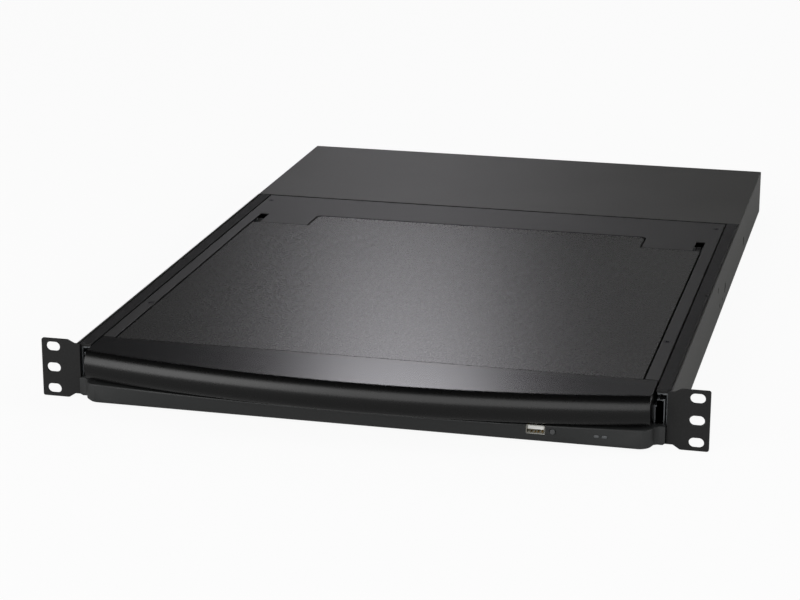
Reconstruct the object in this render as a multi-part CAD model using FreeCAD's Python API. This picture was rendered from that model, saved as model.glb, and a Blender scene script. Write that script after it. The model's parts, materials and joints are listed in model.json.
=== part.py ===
import FreeCAD, Part
import math
import os

# Rackmount LCD console drawer, one rack unit high.
# Frame: X to the right seen from the front, Y back into the rack, Z up, millimetres.
# Origin: centre of the rack bolt pattern, on the plane where the ears seat on the rack posts.

V = FreeCAD.Vector
UP = V(0, 0, 1)
ACROSS = V(1, 0, 0)
BACK = V(0, 1, 0)
NEAR = 0.01

# Rack panel and its bolt slots, after the 19 inch rack standard
panel_width = 482.6
panel_height = 43.6
slot_inset = 8.75
slot_pitch = 15.875
slot_length = 10.5
slot_height = 7.0
ear_sheet = 2.0
ear_corner = 1.5
ear_step_run = 5.0
ear_step_start = 1.5
ear_rise = 0.7
leg_rise = 1.3

# Chassis box
ear_overhang = 26.3
panel_over_box = 5.0
chassis_sheet = 1.0
cover_length = 193.4
bend_radius = 2.4
cover_lip = 10.3
cover_front_lip = 5.3
cover_tab_half = 7.0
cover_tab_drop = 29.3
cover_lip_start = 2.0
cover_edge = 0.8
divider_behind_arm = 21.0
divider_gap = 0.1
divider_top_gap = 1.8
divider_notch = (-150.0, -105.0, -8.0, 8.0)

# Running gaps
top_gap = 1.4
floor_gap = 1.1
lid_gap = 1.4
part_gap = 1.0
pin_clearance = 0.05
button_gap = 0.3

# Screws and service holes of the side walls; a hole is given by its place ahead of the slide's back end,
# its height and its radius
wall_screw_head = 4.0
wall_screw_shank = 2.0
wall_screw_sink = 2.0
wall_screw_length = 4.0
wall_screw_recess = 0.5
wall_screw_play = 0.2
slide_screw_ahead = 104.0
slide_screw_z = -6.0
cover_screw_behind = 42.4
cover_screw_z = -7.0
service_holes = ((157.0, 7.0, 2.5), (143.0, -10.0, 1.8), (122.5, -10.7, 1.8))
rear_screw_head = 2.8
rear_screw_shank = 1.4
rear_screw_height = 1.8
rear_screw_inset = 9.0
rear_screw_drop = 7.3
flange_hole_y = 228.0
flange_hole_radius = 1.4
flange_hole_inset = 3.5

# Rear panel connectors, vents and their places
inlet_inset = 65.0
inlet_body = (27.0, 20.0, 22.0)
inlet_flange = (31.0, 26.0, 2.5)
inlet_cavity = (24.6, 16.4, 16.0)
inlet_chamfer = 4.0
inlet_corner = 2.0
inlet_blade = (2.0, 4.0, 12.0)
inlet_blade_spots = ((-7.0, -1.5), (0.0, 2.5), (7.0, -1.5))
rocker_beside_inlet = 38.0
rocker_body = (19.4, 12.8, 15.0)
rocker_flange = (21.5, 15.0, 1.6)
rocker_cavity = (16.0, 10.4, 10.0)
rocker_pin_radius = 1.0
rocker_pin_sink = 1.0
rocker_pin_seat = 1.0
rocker_tilt = 8.0
rocker_length = 14.4
rocker_low_edge = 1.5
rocker_high_edge = 3.0
rocker_heel = 5.0
video_x = -60.0
video_size = (16.4, 8.2)
video_hole = (18.4, 10.2)
video_flange = (30.8, 12.5)
video_slant = 1.4
video_wall = 0.6
video_body = (24.0, 12.0)
video_depth = 12.0
video_proud = 5.0
video_floor = 1.0
video_flange_sheet = 2.0
jack_spread = 12.5
jack_radius = 2.4
jack_thread = 1.4
jack_height = 4.0
jack_reach = 3.0
host_x = -105.0
host_size = (12.0, 11.0)
host_depth = 16.0
host_proud = 0.6
host_mouth = (8.4, 7.8)
host_tongue = (5.6, 3.2)
host_mouth_depth = 8.0
vent_count = 14
vent_pitch = 6.0
vent_size = (2.6, 16.0)
vent_x = 30.0

# Telescopic slides
slide_thickness = 9.4
slide_end_gap = 1.4
slide_front = 2.0
slide_drop = 2.8
slide_sheet = 1.0
ball_radius = 2.0
ball_clearance = 0.05
cage_sheet = 0.5
cage_length = 200.0
cage_start = 122.0
cage_strip = 1.0
cage_strip_sink = 0.3
balls_per_row = 3
slide_web_gap = 0.25
lip_outer_sheet = 1.3
lip_middle_sheet = 1.6
lip_inner_sheet = 1.2
lip_free_edge = 1.8
race_depth = 0.5

# Drawer and lid outline
drawer_sheet = 1.0
drawer_rear_gap = 1.2
cable_space = 60.4
parting_y = 19.5
lid_inset = 10.8
lid_length = 332.0
lid_back_step = 1.5
lid_depth = 14.3
lid_sheet = 1.0
lid_plate = 1.0
neck_inset = 49.8
neck_run = 31.5
neck_gap = 1.4
neck_corner = 5.0
neck_wall_depth = 7.3
lid_notch_margin = 0.4
frame_screw_front = 87.5
frame_screw_back = 18.4
frame_screw_inset = 5.5
frame_screw_head = 2.8
frame_screw_shank = 1.5
frame_screw_length = 3.0
frame_tab_half = 7.0
tab_sheet = 1.0
tray_notch = (-160.0, -120.0, -2.0, 4.0)

# Lid hinges
hinge_back = 16.5
hinge_drop = 7.1
hinge_disc = 5.8
hinge_pin_radius = 3.5
hinge_pin_head = 5.0
hinge_pin_head_height = 1.5
hinge_slot_inset = 6.2
hinge_slot_width = 7.2
hinge_slot_length = 29.0
hinge_arm = 3.4
hinge_arm_shift = 0.2
hinge_arm_reach = 51.5
hinge_arm_rise = 0.5
hinge_arm_sink = 1.3
hinge_cheek = 2.2
cheek_gap = 1.0
hinge_foot_front = 12.0
hinge_foot_back = 14.0

# Handle along the front edge of the lid
handle_drop = 21.5
handle_front = -36.0
handle_sagitta = 23.0
handle_bulge = 6.0
handle_wall = 2.5
handle_back_step = 12.0
handle_ribs = 6
handle_rib_sheet = 1.6
bar_bulge_z = 8.6
bar_toe_back = 1.4
bar_toe_front = 1.8
bar_toe_rise = 0.9
bar_toe_mid = (0.2, 0.12)
bar_heel_back = 2.6
bar_heel_rise = 1.2
bar_wall = 3.0
bar_seat_sheet = 3.0

# Lower bezel of the drawer
bezel_gap = 2.6
bezel_height = 14.0
bezel_front_mid = -29.0
bezel_front_end = -17.5
bezel_draft = 0.5
bezel_inset = 6.6
bezel_wall = 2.5
bezel_shelf = 2.5
bezel_shelf_gap = 0.5
bezel_chamfer = 1.6
bezel_lip = 0.7
bezel_lug_front = -5.5
bezel_side_gap = 0.4
shoulder_y = -11.0
lug_run = 4.0
shoulder_bend = (0.6, 0.32)
lug_bend = (0.35, 0.72)

# Port, reset button and status lights of the bezel, with their places from the drawer's right side
usb_inset = 77.4
usb_drop = 3.7
usb_size = (13.4, 6.5)
usb_depth = 15.0
usb_wall = 0.4
usb_sink = 0.4
usb_tongue = (11.2, 2.4, 11.0)
usb_tongue_drop = 0.9
usb_tongue_back = 1.0
reset_inset = 65.7
reset_drop = 4.6
reset_radius = 1.9
reset_travel = 1.0
reset_proud = 0.6
reset_collar = 1.2
reset_slack = 0.35
reset_switch = 2.5
light_inset = 33.2
light_spread = 2.8
light_drop = 6.2
light_size = (3.8, 2.0)
light_proud = 0.2
light_length = 6.0
light_block = (10.0, 1.5)
board_margin = 9.0
board_gap = 0.2

# Keyboard deck
deck_under_lid = 7.0
deck_sheet = 1.5
deck_rear_gap = 6.5
deck_side_gap = 0.7
keyboard_side_margin = 17.9
keyboard_rear_margin = 60.0
key_rows = 5
main_units = 15
pad_units = 4
function_count = 16
key_gap = 1.2
key_height = 5.2
key_sink = 1.0
key_taper = 1.9
key_travel = 2.0
key_stem = 3.0
key_stem_drop = 3.8
key_guide_gap = 0.1
function_depth = 12.0
keypad_gap = 5.0
well_margin = 3.0
base_margin = 3.0
base_floor = 1.5
key_rest_gap = 0.5

# Touchpad
pad_width = 66.0
pad_depth = 48.0
pad_button_depth = 17.0
pad_recess = 0.4
pad_gap = 0.2
pad_button_travel = 0.8
pad_button_proud = 0.4
pad_button_split = 0.6
carrier_margin = 3.0
carrier_drop = 4.8
carrier_sheet = 1.2
touch_stem_drop = 0.6

# Screen, its menu buttons and the rubber bumpers
window_side_margin = 21.8
window_front = 36.0
window_rear_margin = 43.5
glass_margin = 3.0
glass_thickness = 1.2
module_margin = 9.0
module_depth_margin = 12.0
module_height = 9.8
module_board = (-120.0, 40.0, -60.0, 30.0, 2.0)
osd_inset = 21.5
osd_size = (12.0, 6.0)
osd_spots = (-36.0, -18.0, 0.0, 18.0)
osd_power_x = 48.0
osd_proud = 0.8
osd_flange = 1.0
osd_play = 0.1
rim_sheet = 1.2
rim_height = 2.0
rim_end_gap = 5.0
rim_rear_inset = 21.8
bumper_side = (10.8, 13.8)
bumper_end = (8.5, 13.5)
bumper_radius = 4.0

# Folding cable arm behind the drawer
arm_side_gap = 17.6
arm_behind = 26.6
arm_width = 14.0
arm_height = 6.0
arm_wall = 1.0
arm_hub = 8.0
arm_pin_radius = 3.0
arm_drop = 27.3
arm_layer_gap = 0.4
arm_slot_travel = 12.0
arm_tab_gap = 1.1
arm_tab_sheet = 1.2
arm_tab_half = 9.0
arm_stud_proud = 1.0
arm_slot_play = 0.15
post_shoulder = 6.0
post_foot = 12.0
post_foot_sheet = 1.5
post_gap = 0.2
post_end_gap = 0.3

# Boards; parts on them are width, depth and height
board_sheet = 1.6
bay_gap = 9.0
standoff_height = 4.0
standoff_radius = 2.5
standoff_inset = 5.0
supply_x = 60.0
supply_width = 62.0
supply_rear_gap = 34.0
transformer = (30.0, 28.0, 21.0)
big_capacitor = (7.0, 20.0)
small_capacitor = (5.0, 18.0)
capacitor_inset = (14.0, 20.0)
heat_sink = (3.0, 19.0)
sink_inset = 2.0
sink_front = 8.0
sink_fins = 5
sink_fin = (6.0, 2.0)
main_x = -150.0
main_width = 150.0
main_rear_gap = 30.0
main_chips = ((60.0, 40.0, 24.0, 24.0, 2.2), (104.0, 30.0, 20.0, 8.0, 2.0), (24.0, 52.0, 14.0, 14.0, 1.8))
main_header = (8.0, 4.0, 40.0, 6.0, 8.0)
keyboard_board_inset = 20.9
keyboard_board_front = 20.5
keyboard_board_size = (120.0, 90.0)
keyboard_chip = (50.0, 40.0, 16.0, 16.0, 1.6)
keyboard_header = (10.0, 78.0, 30.0, 6.0, 5.0)

# Values worked out from the driving dimensions, across the width
half_chassis = panel_width / 2 - ear_overhang
slot_columns = panel_width - 2 * slot_inset
wall_face = half_chassis - chassis_sheet
slide_seat = wall_face - ear_sheet
drawer_half = slide_seat - slide_thickness
flange_edge = drawer_half + top_gap
tray_inside = drawer_half - drawer_sheet
lid_half = drawer_half - lid_inset
strip_edge = lid_half + lid_gap
neck_half = lid_half - neck_inset
hinge_slot_inner = lid_half - hinge_slot_inset
bezel_half = slide_seat - bezel_side_gap
bezel_flat_half = drawer_half - bezel_inset
shoulder_x = flange_edge
window_width = 2 * (lid_half - window_side_margin)
arm_length = 2 * (drawer_half - arm_side_gap)
arm_x = -arm_length / 2
inlet_x = half_chassis - inlet_inset
rocker_x = inlet_x - rocker_beside_inlet
usb_x = drawer_half - usb_inset
reset_x = drawer_half - reset_inset
light_x = drawer_half - light_inset
frame_screw_x = drawer_half - frame_screw_inset

# Values worked out from the front to the back
tray_front = parting_y + part_gap
lid_rear = parting_y + lid_length
lid_wall_rear = lid_rear - lid_back_step
neck_rear = lid_rear + neck_run
drawer_rear = neck_rear + cable_space
cover_front = drawer_rear + drawer_rear_gap
chassis_depth = cover_front + cover_length
slide_back = drawer_rear - slide_end_gap
slide_length = slide_back - slide_front
hinge_y = lid_rear + hinge_back
hinge_arm_front = lid_rear - hinge_arm_reach
window_depth = lid_rear - window_rear_margin - window_front
window_mid = window_front + window_depth / 2
osd_y = lid_rear - osd_inset
deck_rear = lid_rear - deck_rear_gap
arm_y = drawer_rear + arm_behind
divider_y = arm_y + divider_behind_arm
bay_front = divider_y + bay_gap
frame_screw_rows = (parting_y + frame_screw_front, drawer_rear - frame_screw_back)
slide_screw_spot = (slide_back - slide_screw_ahead, slide_screw_z)
cover_screw_spot = (cover_front + cover_screw_behind, cover_screw_z)
service_spots = [(slide_back - ahead, z, radius) for ahead, z, radius in service_holes]

# Values worked out from the base to the top
chassis_height = panel_height - panel_over_box
top_z = chassis_height / 2
base_z = -chassis_height / 2
cover_under = top_z - chassis_sheet
floor_top = base_z + chassis_sheet
half_slide = top_z - slide_drop
drawer_floor = floor_top + floor_gap
tray_top = drawer_floor + drawer_sheet
frame_under = top_z - drawer_sheet
lid_inner_top = top_z - lid_sheet
lid_underside = top_z - lid_depth
lid_wall_low = lid_underside + lid_plate
hinge_z = top_z - hinge_drop
handle_bottom = top_z - handle_drop
bezel_top = handle_bottom - bezel_gap
bezel_bottom = bezel_top - bezel_height
deck_top = lid_underside - deck_under_lid
deck_under = deck_top - deck_sheet
key_bottom = deck_top - key_sink
usb_z = bezel_top - usb_drop
reset_z = bezel_top - reset_drop
light_z = bezel_top - light_drop
arm_rear_bottom = top_z - arm_drop
rear_screw_z = top_z - rear_screw_drop


def box(x0, x1, y0, y1, z0, z1):
    return Part.makeBox(x1 - x0, y1 - y0, z1 - z0, V(x0, y0, z0))


def centred(x, z, size, y0, y1):
    width, height = size
    return box(x - width / 2, x + width / 2, y0, y1, z - height / 2, z + height / 2)


def rod(radius, x, y, z, length, direction):
    return Part.makeCylinder(radius, length, V(x, y, z), direction)


def mirrored(shape):
    return shape.mirror(V(0, 0, 0), ACROSS)


def fused(shapes):
    return shapes[0].multiFuse(shapes[1:]).removeSplitter()


def group(shapes):
    solids = []
    for shape in shapes:
        solids.extend(shape.Solids)
    return Part.makeCompound(solids)


def both_sides(shape):
    return group([shape, mirrored(shape)])


def plate_xy(points, z0, z1):
    wire = Part.makePolygon([V(x, y, z0) for x, y in points + points[:1]])
    return Part.Face(wire).extrude(V(0, 0, z1 - z0))


def plate_xz(points, y0, y1):
    wire = Part.makePolygon([V(x, y0, z) for x, z in points + points[:1]])
    return Part.Face(wire).extrude(V(0, y1 - y0, 0))


def upright_edges(shape, direction, test):
    chosen = []
    for edge in shape.Edges:
        if edge.Curve.TypeId != "Part::GeomLine":
            continue
        line = edge.Curve.Direction
        if abs(abs(line.dot(direction)) - 1) < 1e-6 and test(edge.CenterOfMass):
            chosen.append(edge)
    return chosen


def rounded(shape, radius, direction, test):
    return shape.makeFillet(radius, upright_edges(shape, direction, test))


def obround(x, z, length, height, y0, y1):
    reach = (length - height) / 2
    middle = box(x - reach, x + reach, y0, y1, z - height / 2, z + height / 2)
    ends = [rod(height / 2, x + side * reach, y0, z, y1 - y0, BACK) for side in (-1, 1)]
    return fused([middle] + ends)


def frustum(x0, x1, y0, y1, z0, z1, taper):
    low = [V(x0, y0, z0), V(x1, y0, z0), V(x1, y1, z0), V(x0, y1, z0)]
    high = [V(x0 + taper, y0 + taper, z1), V(x1 - taper, y0 + taper, z1)]
    high += [V(x1 - taper, y1 - taper, z1), V(x0 + taper, y1 - taper, z1)]
    wires = [Part.makePolygon(ring + ring[:1]) for ring in (low, high)]
    return Part.makeLoft(wires, True, True)


# Screws of the chassis: countersunk ones through the side walls and pan heads on the rear panel


def wall_screw(spot):
    y, z = spot
    sink = wall_screw_sink
    head_x = half_chassis - wall_screw_recess
    cone = Part.makeCone(wall_screw_shank, wall_screw_head, sink, V(head_x - sink, y, z), ACROSS)
    shank = rod(wall_screw_shank, head_x - wall_screw_length, y, z, wall_screw_length - sink, ACROSS)
    return fused([cone, shank])


def wall_screw_seat(spot):
    y, z = spot
    radius = wall_screw_head + wall_screw_play
    recess = rod(radius, half_chassis - wall_screw_recess, y, z, wall_screw_recess, ACROSS)
    return wall_screw(spot).fuse(recess)


def rear_screw(x):
    head = rod(rear_screw_head, x, chassis_depth, rear_screw_z, rear_screw_height, BACK)
    reach = 2 * chassis_sheet
    shank = rod(rear_screw_shank, x, chassis_depth - reach, rear_screw_z, reach, BACK)
    return fused([head, shank])


wall_screw_spots = (slide_screw_spot, cover_screw_spot)
side_screws = [wall_screw(spot) for spot in wall_screw_spots]
side_seats = [wall_screw_seat(spot) for spot in wall_screw_spots]
rear_screws = [rear_screw(wall_face - rear_screw_inset)]


def chassis_screws():
    return both_sides(group(side_screws + rear_screws))


# Folded chassis: floor, side walls and a divider in front of the rear bay


def chassis_pan():
    floor = box(-half_chassis, half_chassis, 0, chassis_depth, base_z, floor_top)
    wall = box(wall_face, half_chassis, 0, chassis_depth, base_z, top_z)
    wall = wall.cut(box(wall_face, half_chassis, cover_front, chassis_depth, cover_under, top_z))
    walls = [wall, mirrored(wall)]
    reach = wall_face - chassis_sheet - divider_gap
    divider_top = top_z - divider_top_gap
    divider = box(-reach, reach, divider_y, divider_y + chassis_sheet, floor_top, divider_top)
    x0, x1, z0, z1 = divider_notch
    divider = divider.cut(box(x0, x1, divider_y, divider_y + chassis_sheet, z0, z1))
    pan = fused([floor] + walls + [divider])
    pan = rounded(
        pan, chassis_sheet, BACK, lambda c: abs(c.x) > half_chassis - NEAR and c.z < base_z + NEAR
    )
    for y, z, radius in service_spots:
        hole = rod(radius, wall_face, y, z, chassis_sheet, ACROSS)
        pan = pan.cut(hole).cut(mirrored(hole))
    for seat in side_seats:
        pan = pan.cut(seat).cut(mirrored(seat))
    return pan


# Fixed top cover over the rear bay, with lips folded down inside the walls


def rear_cover():
    top = box(-half_chassis, half_chassis, cover_front, chassis_depth, cover_under, top_z)
    top = rounded(top, cover_edge, BACK, lambda c: c.z > top_z - NEAR)
    inner = wall_face - chassis_sheet
    lip_y0 = cover_front + cover_lip_start
    lip_y1 = chassis_depth - 2 * chassis_sheet
    lip = box(inner, wall_face, lip_y0, lip_y1, cover_under - cover_lip, cover_under)
    y = cover_screw_spot[0]
    tab_low = cover_under - cover_tab_drop
    tab = box(inner, wall_face, y - cover_tab_half, y + cover_tab_half, tab_low, cover_under)
    side = lip.fuse(tab)
    front_y1 = cover_front + chassis_sheet
    front = box(-inner, inner, cover_front, front_y1, cover_under - cover_front_lip, cover_under)
    cover = fused([top, side, mirrored(side), front])
    for screw in side_screws:
        cover = cover.cut(screw).cut(mirrored(screw))
    return cover


# Rear panel with its connectors


def port_cut(x, size):
    return centred(x, 0, size, chassis_depth - chassis_sheet, chassis_depth)


def jack_nuts():
    y = chassis_depth
    nuts = []
    for side in (-1, 1):
        x = video_x + side * jack_spread
        head = rod(jack_radius, x, y, 0, jack_height, BACK)
        shank = rod(jack_thread, x, y - jack_reach, 0, jack_reach, BACK)
        nuts.append(fused([head, shank]))
    return nuts


def rear_panel():
    panel = box(-wall_face, wall_face, chassis_depth - chassis_sheet, chassis_depth, floor_top, cover_under)
    cuts = [port_cut(inlet_x, inlet_body[:2]), port_cut(rocker_x, rocker_body[:2])]
    cuts += [port_cut(video_x, video_hole), port_cut(host_x, host_size)] + jack_nuts()
    for n in range(vent_count):
        cuts.append(port_cut(vent_x + (n - (vent_count - 1) / 2) * vent_pitch, vent_size))
    panel = panel.cut(Part.makeCompound(cuts))
    for screw in rear_screws:
        panel = panel.cut(screw).cut(mirrored(screw))
    return panel


def power_inlet():
    face = chassis_depth + inlet_flange[2]
    body = centred(inlet_x, 0, inlet_body[:2], chassis_depth - inlet_body[2], chassis_depth)
    flange = centred(inlet_x, 0, inlet_flange[:2], chassis_depth, face)
    flange = rounded(flange, inlet_corner, BACK, lambda c: True)
    floor_y = face - inlet_cavity[2]
    cavity = centred(inlet_x, 0, inlet_cavity[:2], floor_y, face)
    top = cavity.BoundBox.ZMax
    cavity = cavity.makeChamfer(inlet_chamfer, upright_edges(cavity, BACK, lambda c: c.z > top - NEAR))
    blades = []
    for x, z in inlet_blade_spots:
        blades.append(centred(inlet_x + x, z, inlet_blade[:2], floor_y, floor_y + inlet_blade[2]))
    return fused([body, flange]).cut(cavity).fuse(blades).removeSplitter()


def rocker_pin(radius, reach):
    return rod(radius, rocker_x, chassis_depth - rocker_pin_sink, -reach, 2 * reach, UP)


def power_switch_frame():
    face = chassis_depth + rocker_flange[2]
    body = centred(rocker_x, 0, rocker_body[:2], chassis_depth - rocker_body[2], chassis_depth)
    flange = centred(rocker_x, 0, rocker_flange[:2], chassis_depth, face)
    cavity = centred(rocker_x, 0, rocker_cavity[:2], face - rocker_cavity[2], face)
    frame = fused([body, flange]).cut(cavity)
    return frame.cut(rocker_pin(rocker_pin_radius, rocker_cavity[1] / 2 + rocker_pin_seat))


def power_rocker():
    y = chassis_depth - rocker_pin_sink
    high = rocker_cavity[1] / 2 - button_gap
    half = rocker_length / 2
    rise = half * math.tan(math.radians(rocker_tilt))
    left = rocker_x - half
    right = rocker_x + half
    outline = [(left, y + rocker_high_edge), (left, y - rocker_low_edge), (rocker_x, y - rocker_heel)]
    outline += [(right, y - rocker_low_edge), (right, y + rocker_high_edge)]
    outline.append((rocker_x, y + rocker_high_edge - rise))
    paddle = plate_xy(outline, -high, high)
    pin = rocker_pin(rocker_pin_radius - pin_clearance, rocker_cavity[1] / 2 + rocker_pin_seat - button_gap)
    rocker = fused([paddle, pin])
    rocker.rotate(V(rocker_x, y, 0), UP, -rocker_tilt)
    return rocker


def video_outline(inset):
    half = video_size[0] / 2 - inset
    tall = video_size[1] / 2 - inset
    points = [(-half, tall), (half, tall), (half - video_slant, -tall), (video_slant - half, -tall)]
    return [(video_x + x, z) for x, z in points]


def video_port():
    back = chassis_depth - chassis_sheet - video_flange_sheet
    face = chassis_depth + video_proud
    flange = centred(video_x, 0, video_flange, back, chassis_depth - chassis_sheet)
    body = centred(video_x, 0, video_body, chassis_depth - video_depth, back)
    shell = plate_xz(video_outline(0), back, face)
    inner = plate_xz(video_outline(video_wall), chassis_depth - video_floor, face)
    return fused([flange, body, shell]).cut(inner).cut(Part.makeCompound(jack_nuts()))


def host_port():
    face = chassis_depth + host_proud
    block = centred(host_x, 0, host_size, chassis_depth - host_depth, face)
    mouth = centred(host_x, 0, host_mouth, face - host_mouth_depth, face)
    tongue = centred(host_x, 0, host_tongue, face - host_mouth_depth, face - host_proud)
    return block.cut(mouth).fuse(tongue)


def rear_ports():
    return group([video_port(), host_port()] + jack_nuts())


# Ear bracket: the rack ear, the long leg that carries the slide and the flange over the slide


def ear_slots():
    slots = []
    for row in (-1, 0, 1):
        slots.append(obround(slot_columns / 2, row * slot_pitch, slot_length, slot_height, -ear_sheet, 0))
    return slots


def ear_bracket():
    outer = panel_width / 2
    tall = panel_height / 2
    low = top_z - ear_rise
    step = half_chassis + ear_step_start
    outline = [(slide_seat, -low), (step, -low), (step + ear_step_run, -tall), (outer, -tall)]
    outline += [(outer, tall), (step + ear_step_run, tall), (step, top_z), (slide_seat, top_z)]
    ear = plate_xz(outline, -ear_sheet, 0)
    ear = rounded(ear, ear_corner, BACK, lambda c: c.x > outer - NEAR)
    ear = rounded(ear, ear_step_run / 2, BACK, lambda c: abs(c.x - step - ear_step_run) < NEAR)
    ear = ear.cut(Part.makeCompound(ear_slots()))
    leg_low = floor_top + leg_rise
    leg = box(slide_seat, wall_face, 0, cover_front, leg_low, top_z)
    flange = box(flange_edge, slide_seat, 0, cover_front, top_z - ear_sheet, top_z)
    bracket = fused([leg, flange])
    corner = upright_edges(bracket, BACK, lambda c: c.x > wall_face - NEAR and c.z > top_z - NEAR)
    bracket = bracket.makeFillet(bend_radius, corner)
    bracket = fused([bracket, ear])
    hole_x = half_chassis - flange_hole_inset
    bracket = bracket.cut(rod(flange_hole_radius, hole_x, flange_hole_y, top_z - ear_sheet, ear_sheet, UP))
    for y, z, radius in service_spots:
        bracket = bracket.cut(rod(radius, slide_seat, y, z, ear_sheet, ACROSS))
    return bracket.cut(side_screws[0])


# Slide sections, from the chassis inwards: outer, first cage, middle, second cage, inner


outer_web = slide_seat - slide_sheet
cage_a_out = outer_web - slide_web_gap
cage_a_in = cage_a_out - cage_sheet
middle_web_out = cage_a_in - slide_web_gap
middle_web_in = middle_web_out - slide_sheet
cage_b_out = middle_web_in - slide_web_gap
cage_b_in = cage_b_out - cage_sheet
inner_reach = cage_b_in - slide_web_gap
inner_web = drawer_half + slide_sheet
lip_edge = drawer_half + lip_free_edge
row_span = 2 * ball_radius - 2 * race_depth
outer_lip_low = half_slide - lip_outer_sheet
middle_lip_high = outer_lip_low - row_span
middle_lip_low = middle_lip_high - lip_middle_sheet
inner_lip_high = middle_lip_low - row_span
inner_lip_low = inner_lip_high - lip_inner_sheet
row_a_z = (outer_lip_low + middle_lip_high) / 2
row_b_z = (middle_lip_low + inner_lip_high) / 2
row_a_x = (lip_edge + middle_web_out) / 2
row_b_x = (inner_web + inner_reach) / 2


def channel(web_from, web_to, lip_from, lip_to, high, lip_low, lip_high, y0, y1):
    web = box(web_from, web_to, y0, y1, -high, high)
    lips = [box(lip_from, lip_to, y0, y1, lip_low, lip_high)]
    lips.append(box(lip_from, lip_to, y0, y1, -lip_high, -lip_low))
    return fused([web] + lips)


def races(x, z):
    radius = ball_radius + ball_clearance
    return [rod(radius, x, slide_front, side * z, slide_length, BACK) for side in (-1, 1)]


def slide_outer():
    profile = channel(
        outer_web, slide_seat, lip_edge, slide_seat,
        half_slide, outer_lip_low, half_slide, slide_front, slide_back
    )
    profile = profile.cut(Part.makeCompound(races(row_a_x, row_a_z)))
    for y, z, radius in service_spots:
        profile = profile.cut(rod(radius, outer_web, y, z, slide_sheet, ACROSS))
    return profile.cut(side_screws[0])


def slide_middle():
    profile = channel(
        middle_web_in, middle_web_out, lip_edge, middle_web_out,
        middle_lip_high, middle_lip_low, middle_lip_high, slide_front, slide_back
    )
    return profile.cut(Part.makeCompound(races(row_a_x, row_a_z) + races(row_b_x, row_b_z)))


def slide_inner():
    profile = channel(
        drawer_half, inner_web, drawer_half, inner_reach,
        inner_lip_high, inner_lip_low, inner_lip_high, slide_front, slide_back
    )
    return profile.cut(Part.makeCompound(races(row_b_x, row_b_z)))


def ball_cage(web_in, web_out, ball_x, ball_z, strip_from):
    back = cage_start + cage_length
    high = ball_z + cage_strip / 2
    web = box(web_in, web_out, cage_start, back, -high, high)
    window = cage_length / balls_per_row
    parts = [web]
    for side in (-1, 1):
        z = side * ball_z
        parts.append(box(strip_from, web_out, cage_start, back, z - cage_strip / 2, z + cage_strip / 2))
        for n in range(balls_per_row):
            y = cage_start + (n + 0.5) * window
            parts.append(Part.makeSphere(ball_radius, V(ball_x, y, z)))
    return fused(parts)


def ball_cage_outer():
    return ball_cage(cage_a_in, cage_a_out, row_a_x, row_a_z, row_a_x - ball_radius + cage_strip_sink)


def ball_cage_inner():
    return ball_cage(cage_b_in, cage_b_out, row_b_x, row_b_z, row_b_x - ball_radius + cage_strip_sink)


# Cable arm: two equal links that fold across the width behind the drawer

arm_front_bottom = arm_rear_bottom + arm_height + arm_layer_gap
arm_front_top = arm_front_bottom + arm_height
arm_tab_low = arm_front_top + arm_tab_gap
arm_stud_top = arm_tab_low + arm_tab_sheet + arm_stud_proud


def arm_link(z0):
    z1 = z0 + arm_height
    x1 = arm_x + arm_length
    half = arm_width / 2
    body = box(arm_x, x1, arm_y - half, arm_y + half, z0, z1)
    hollow = box(
        arm_x + arm_hub, x1 - arm_hub, arm_y - half + arm_wall, arm_y + half - arm_wall, z0 + arm_wall, z1
    )
    hubs = [rod(arm_hub, x, arm_y, z0, arm_height, UP) for x in (arm_x, x1)]
    return fused([body.cut(hollow)] + hubs)


def bore(x, radius, z0, z1):
    return rod(radius, x, arm_y, z0, z1 - z0, UP)


def cable_arm_rear():
    z1 = arm_rear_bottom + arm_height
    link = arm_link(arm_rear_bottom)
    link = link.cut(bore(arm_x, arm_pin_radius + pin_clearance, arm_rear_bottom, z1))
    return link.cut(bore(arm_x + arm_length, arm_pin_radius, arm_rear_bottom, z1))


def cable_arm_front():
    link = arm_link(arm_front_bottom)
    hole_radius = arm_pin_radius + pin_clearance
    link = link.cut(bore(arm_x + arm_length, hole_radius, arm_front_bottom, arm_front_top))
    return fused([link, bore(arm_x, arm_pin_radius, arm_front_top, arm_stud_top)])


def arm_elbow_pin():
    return bore(arm_x + arm_length, arm_pin_radius, arm_rear_bottom, arm_front_top)


def arm_bracket():
    top = floor_top + post_foot_sheet
    base = box(arm_x - post_foot, arm_x + post_foot, arm_y - post_foot, arm_y + post_foot, floor_top, top)
    shoulder = bore(arm_x, post_shoulder, top, arm_rear_bottom - post_gap)
    post = bore(arm_x, arm_pin_radius, top, arm_front_bottom - post_end_gap)
    return fused([base, shoulder, post])


# Electronics of the rear bay


def standoffs(x0, x1, y0, y1, z0):
    posts = []
    for x in (x0 + standoff_inset, x1 - standoff_inset):
        for y in (y0 + standoff_inset, y1 - standoff_inset):
            posts.append(rod(standoff_radius, x, y, z0, standoff_height, UP))
    return posts


def raised_board(x0, x1, y0, y1, z0):
    low = z0 + standoff_height
    return [box(x0, x1, y0, y1, low, low + board_sheet)] + standoffs(x0, x1, y0, y1, z0)


def on_board(x0, y0, top, spec):
    x, y, width, depth, height = spec
    return box(x0 + x, x0 + x + width, y0 + y, y0 + y + depth, top, top + height)


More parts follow.
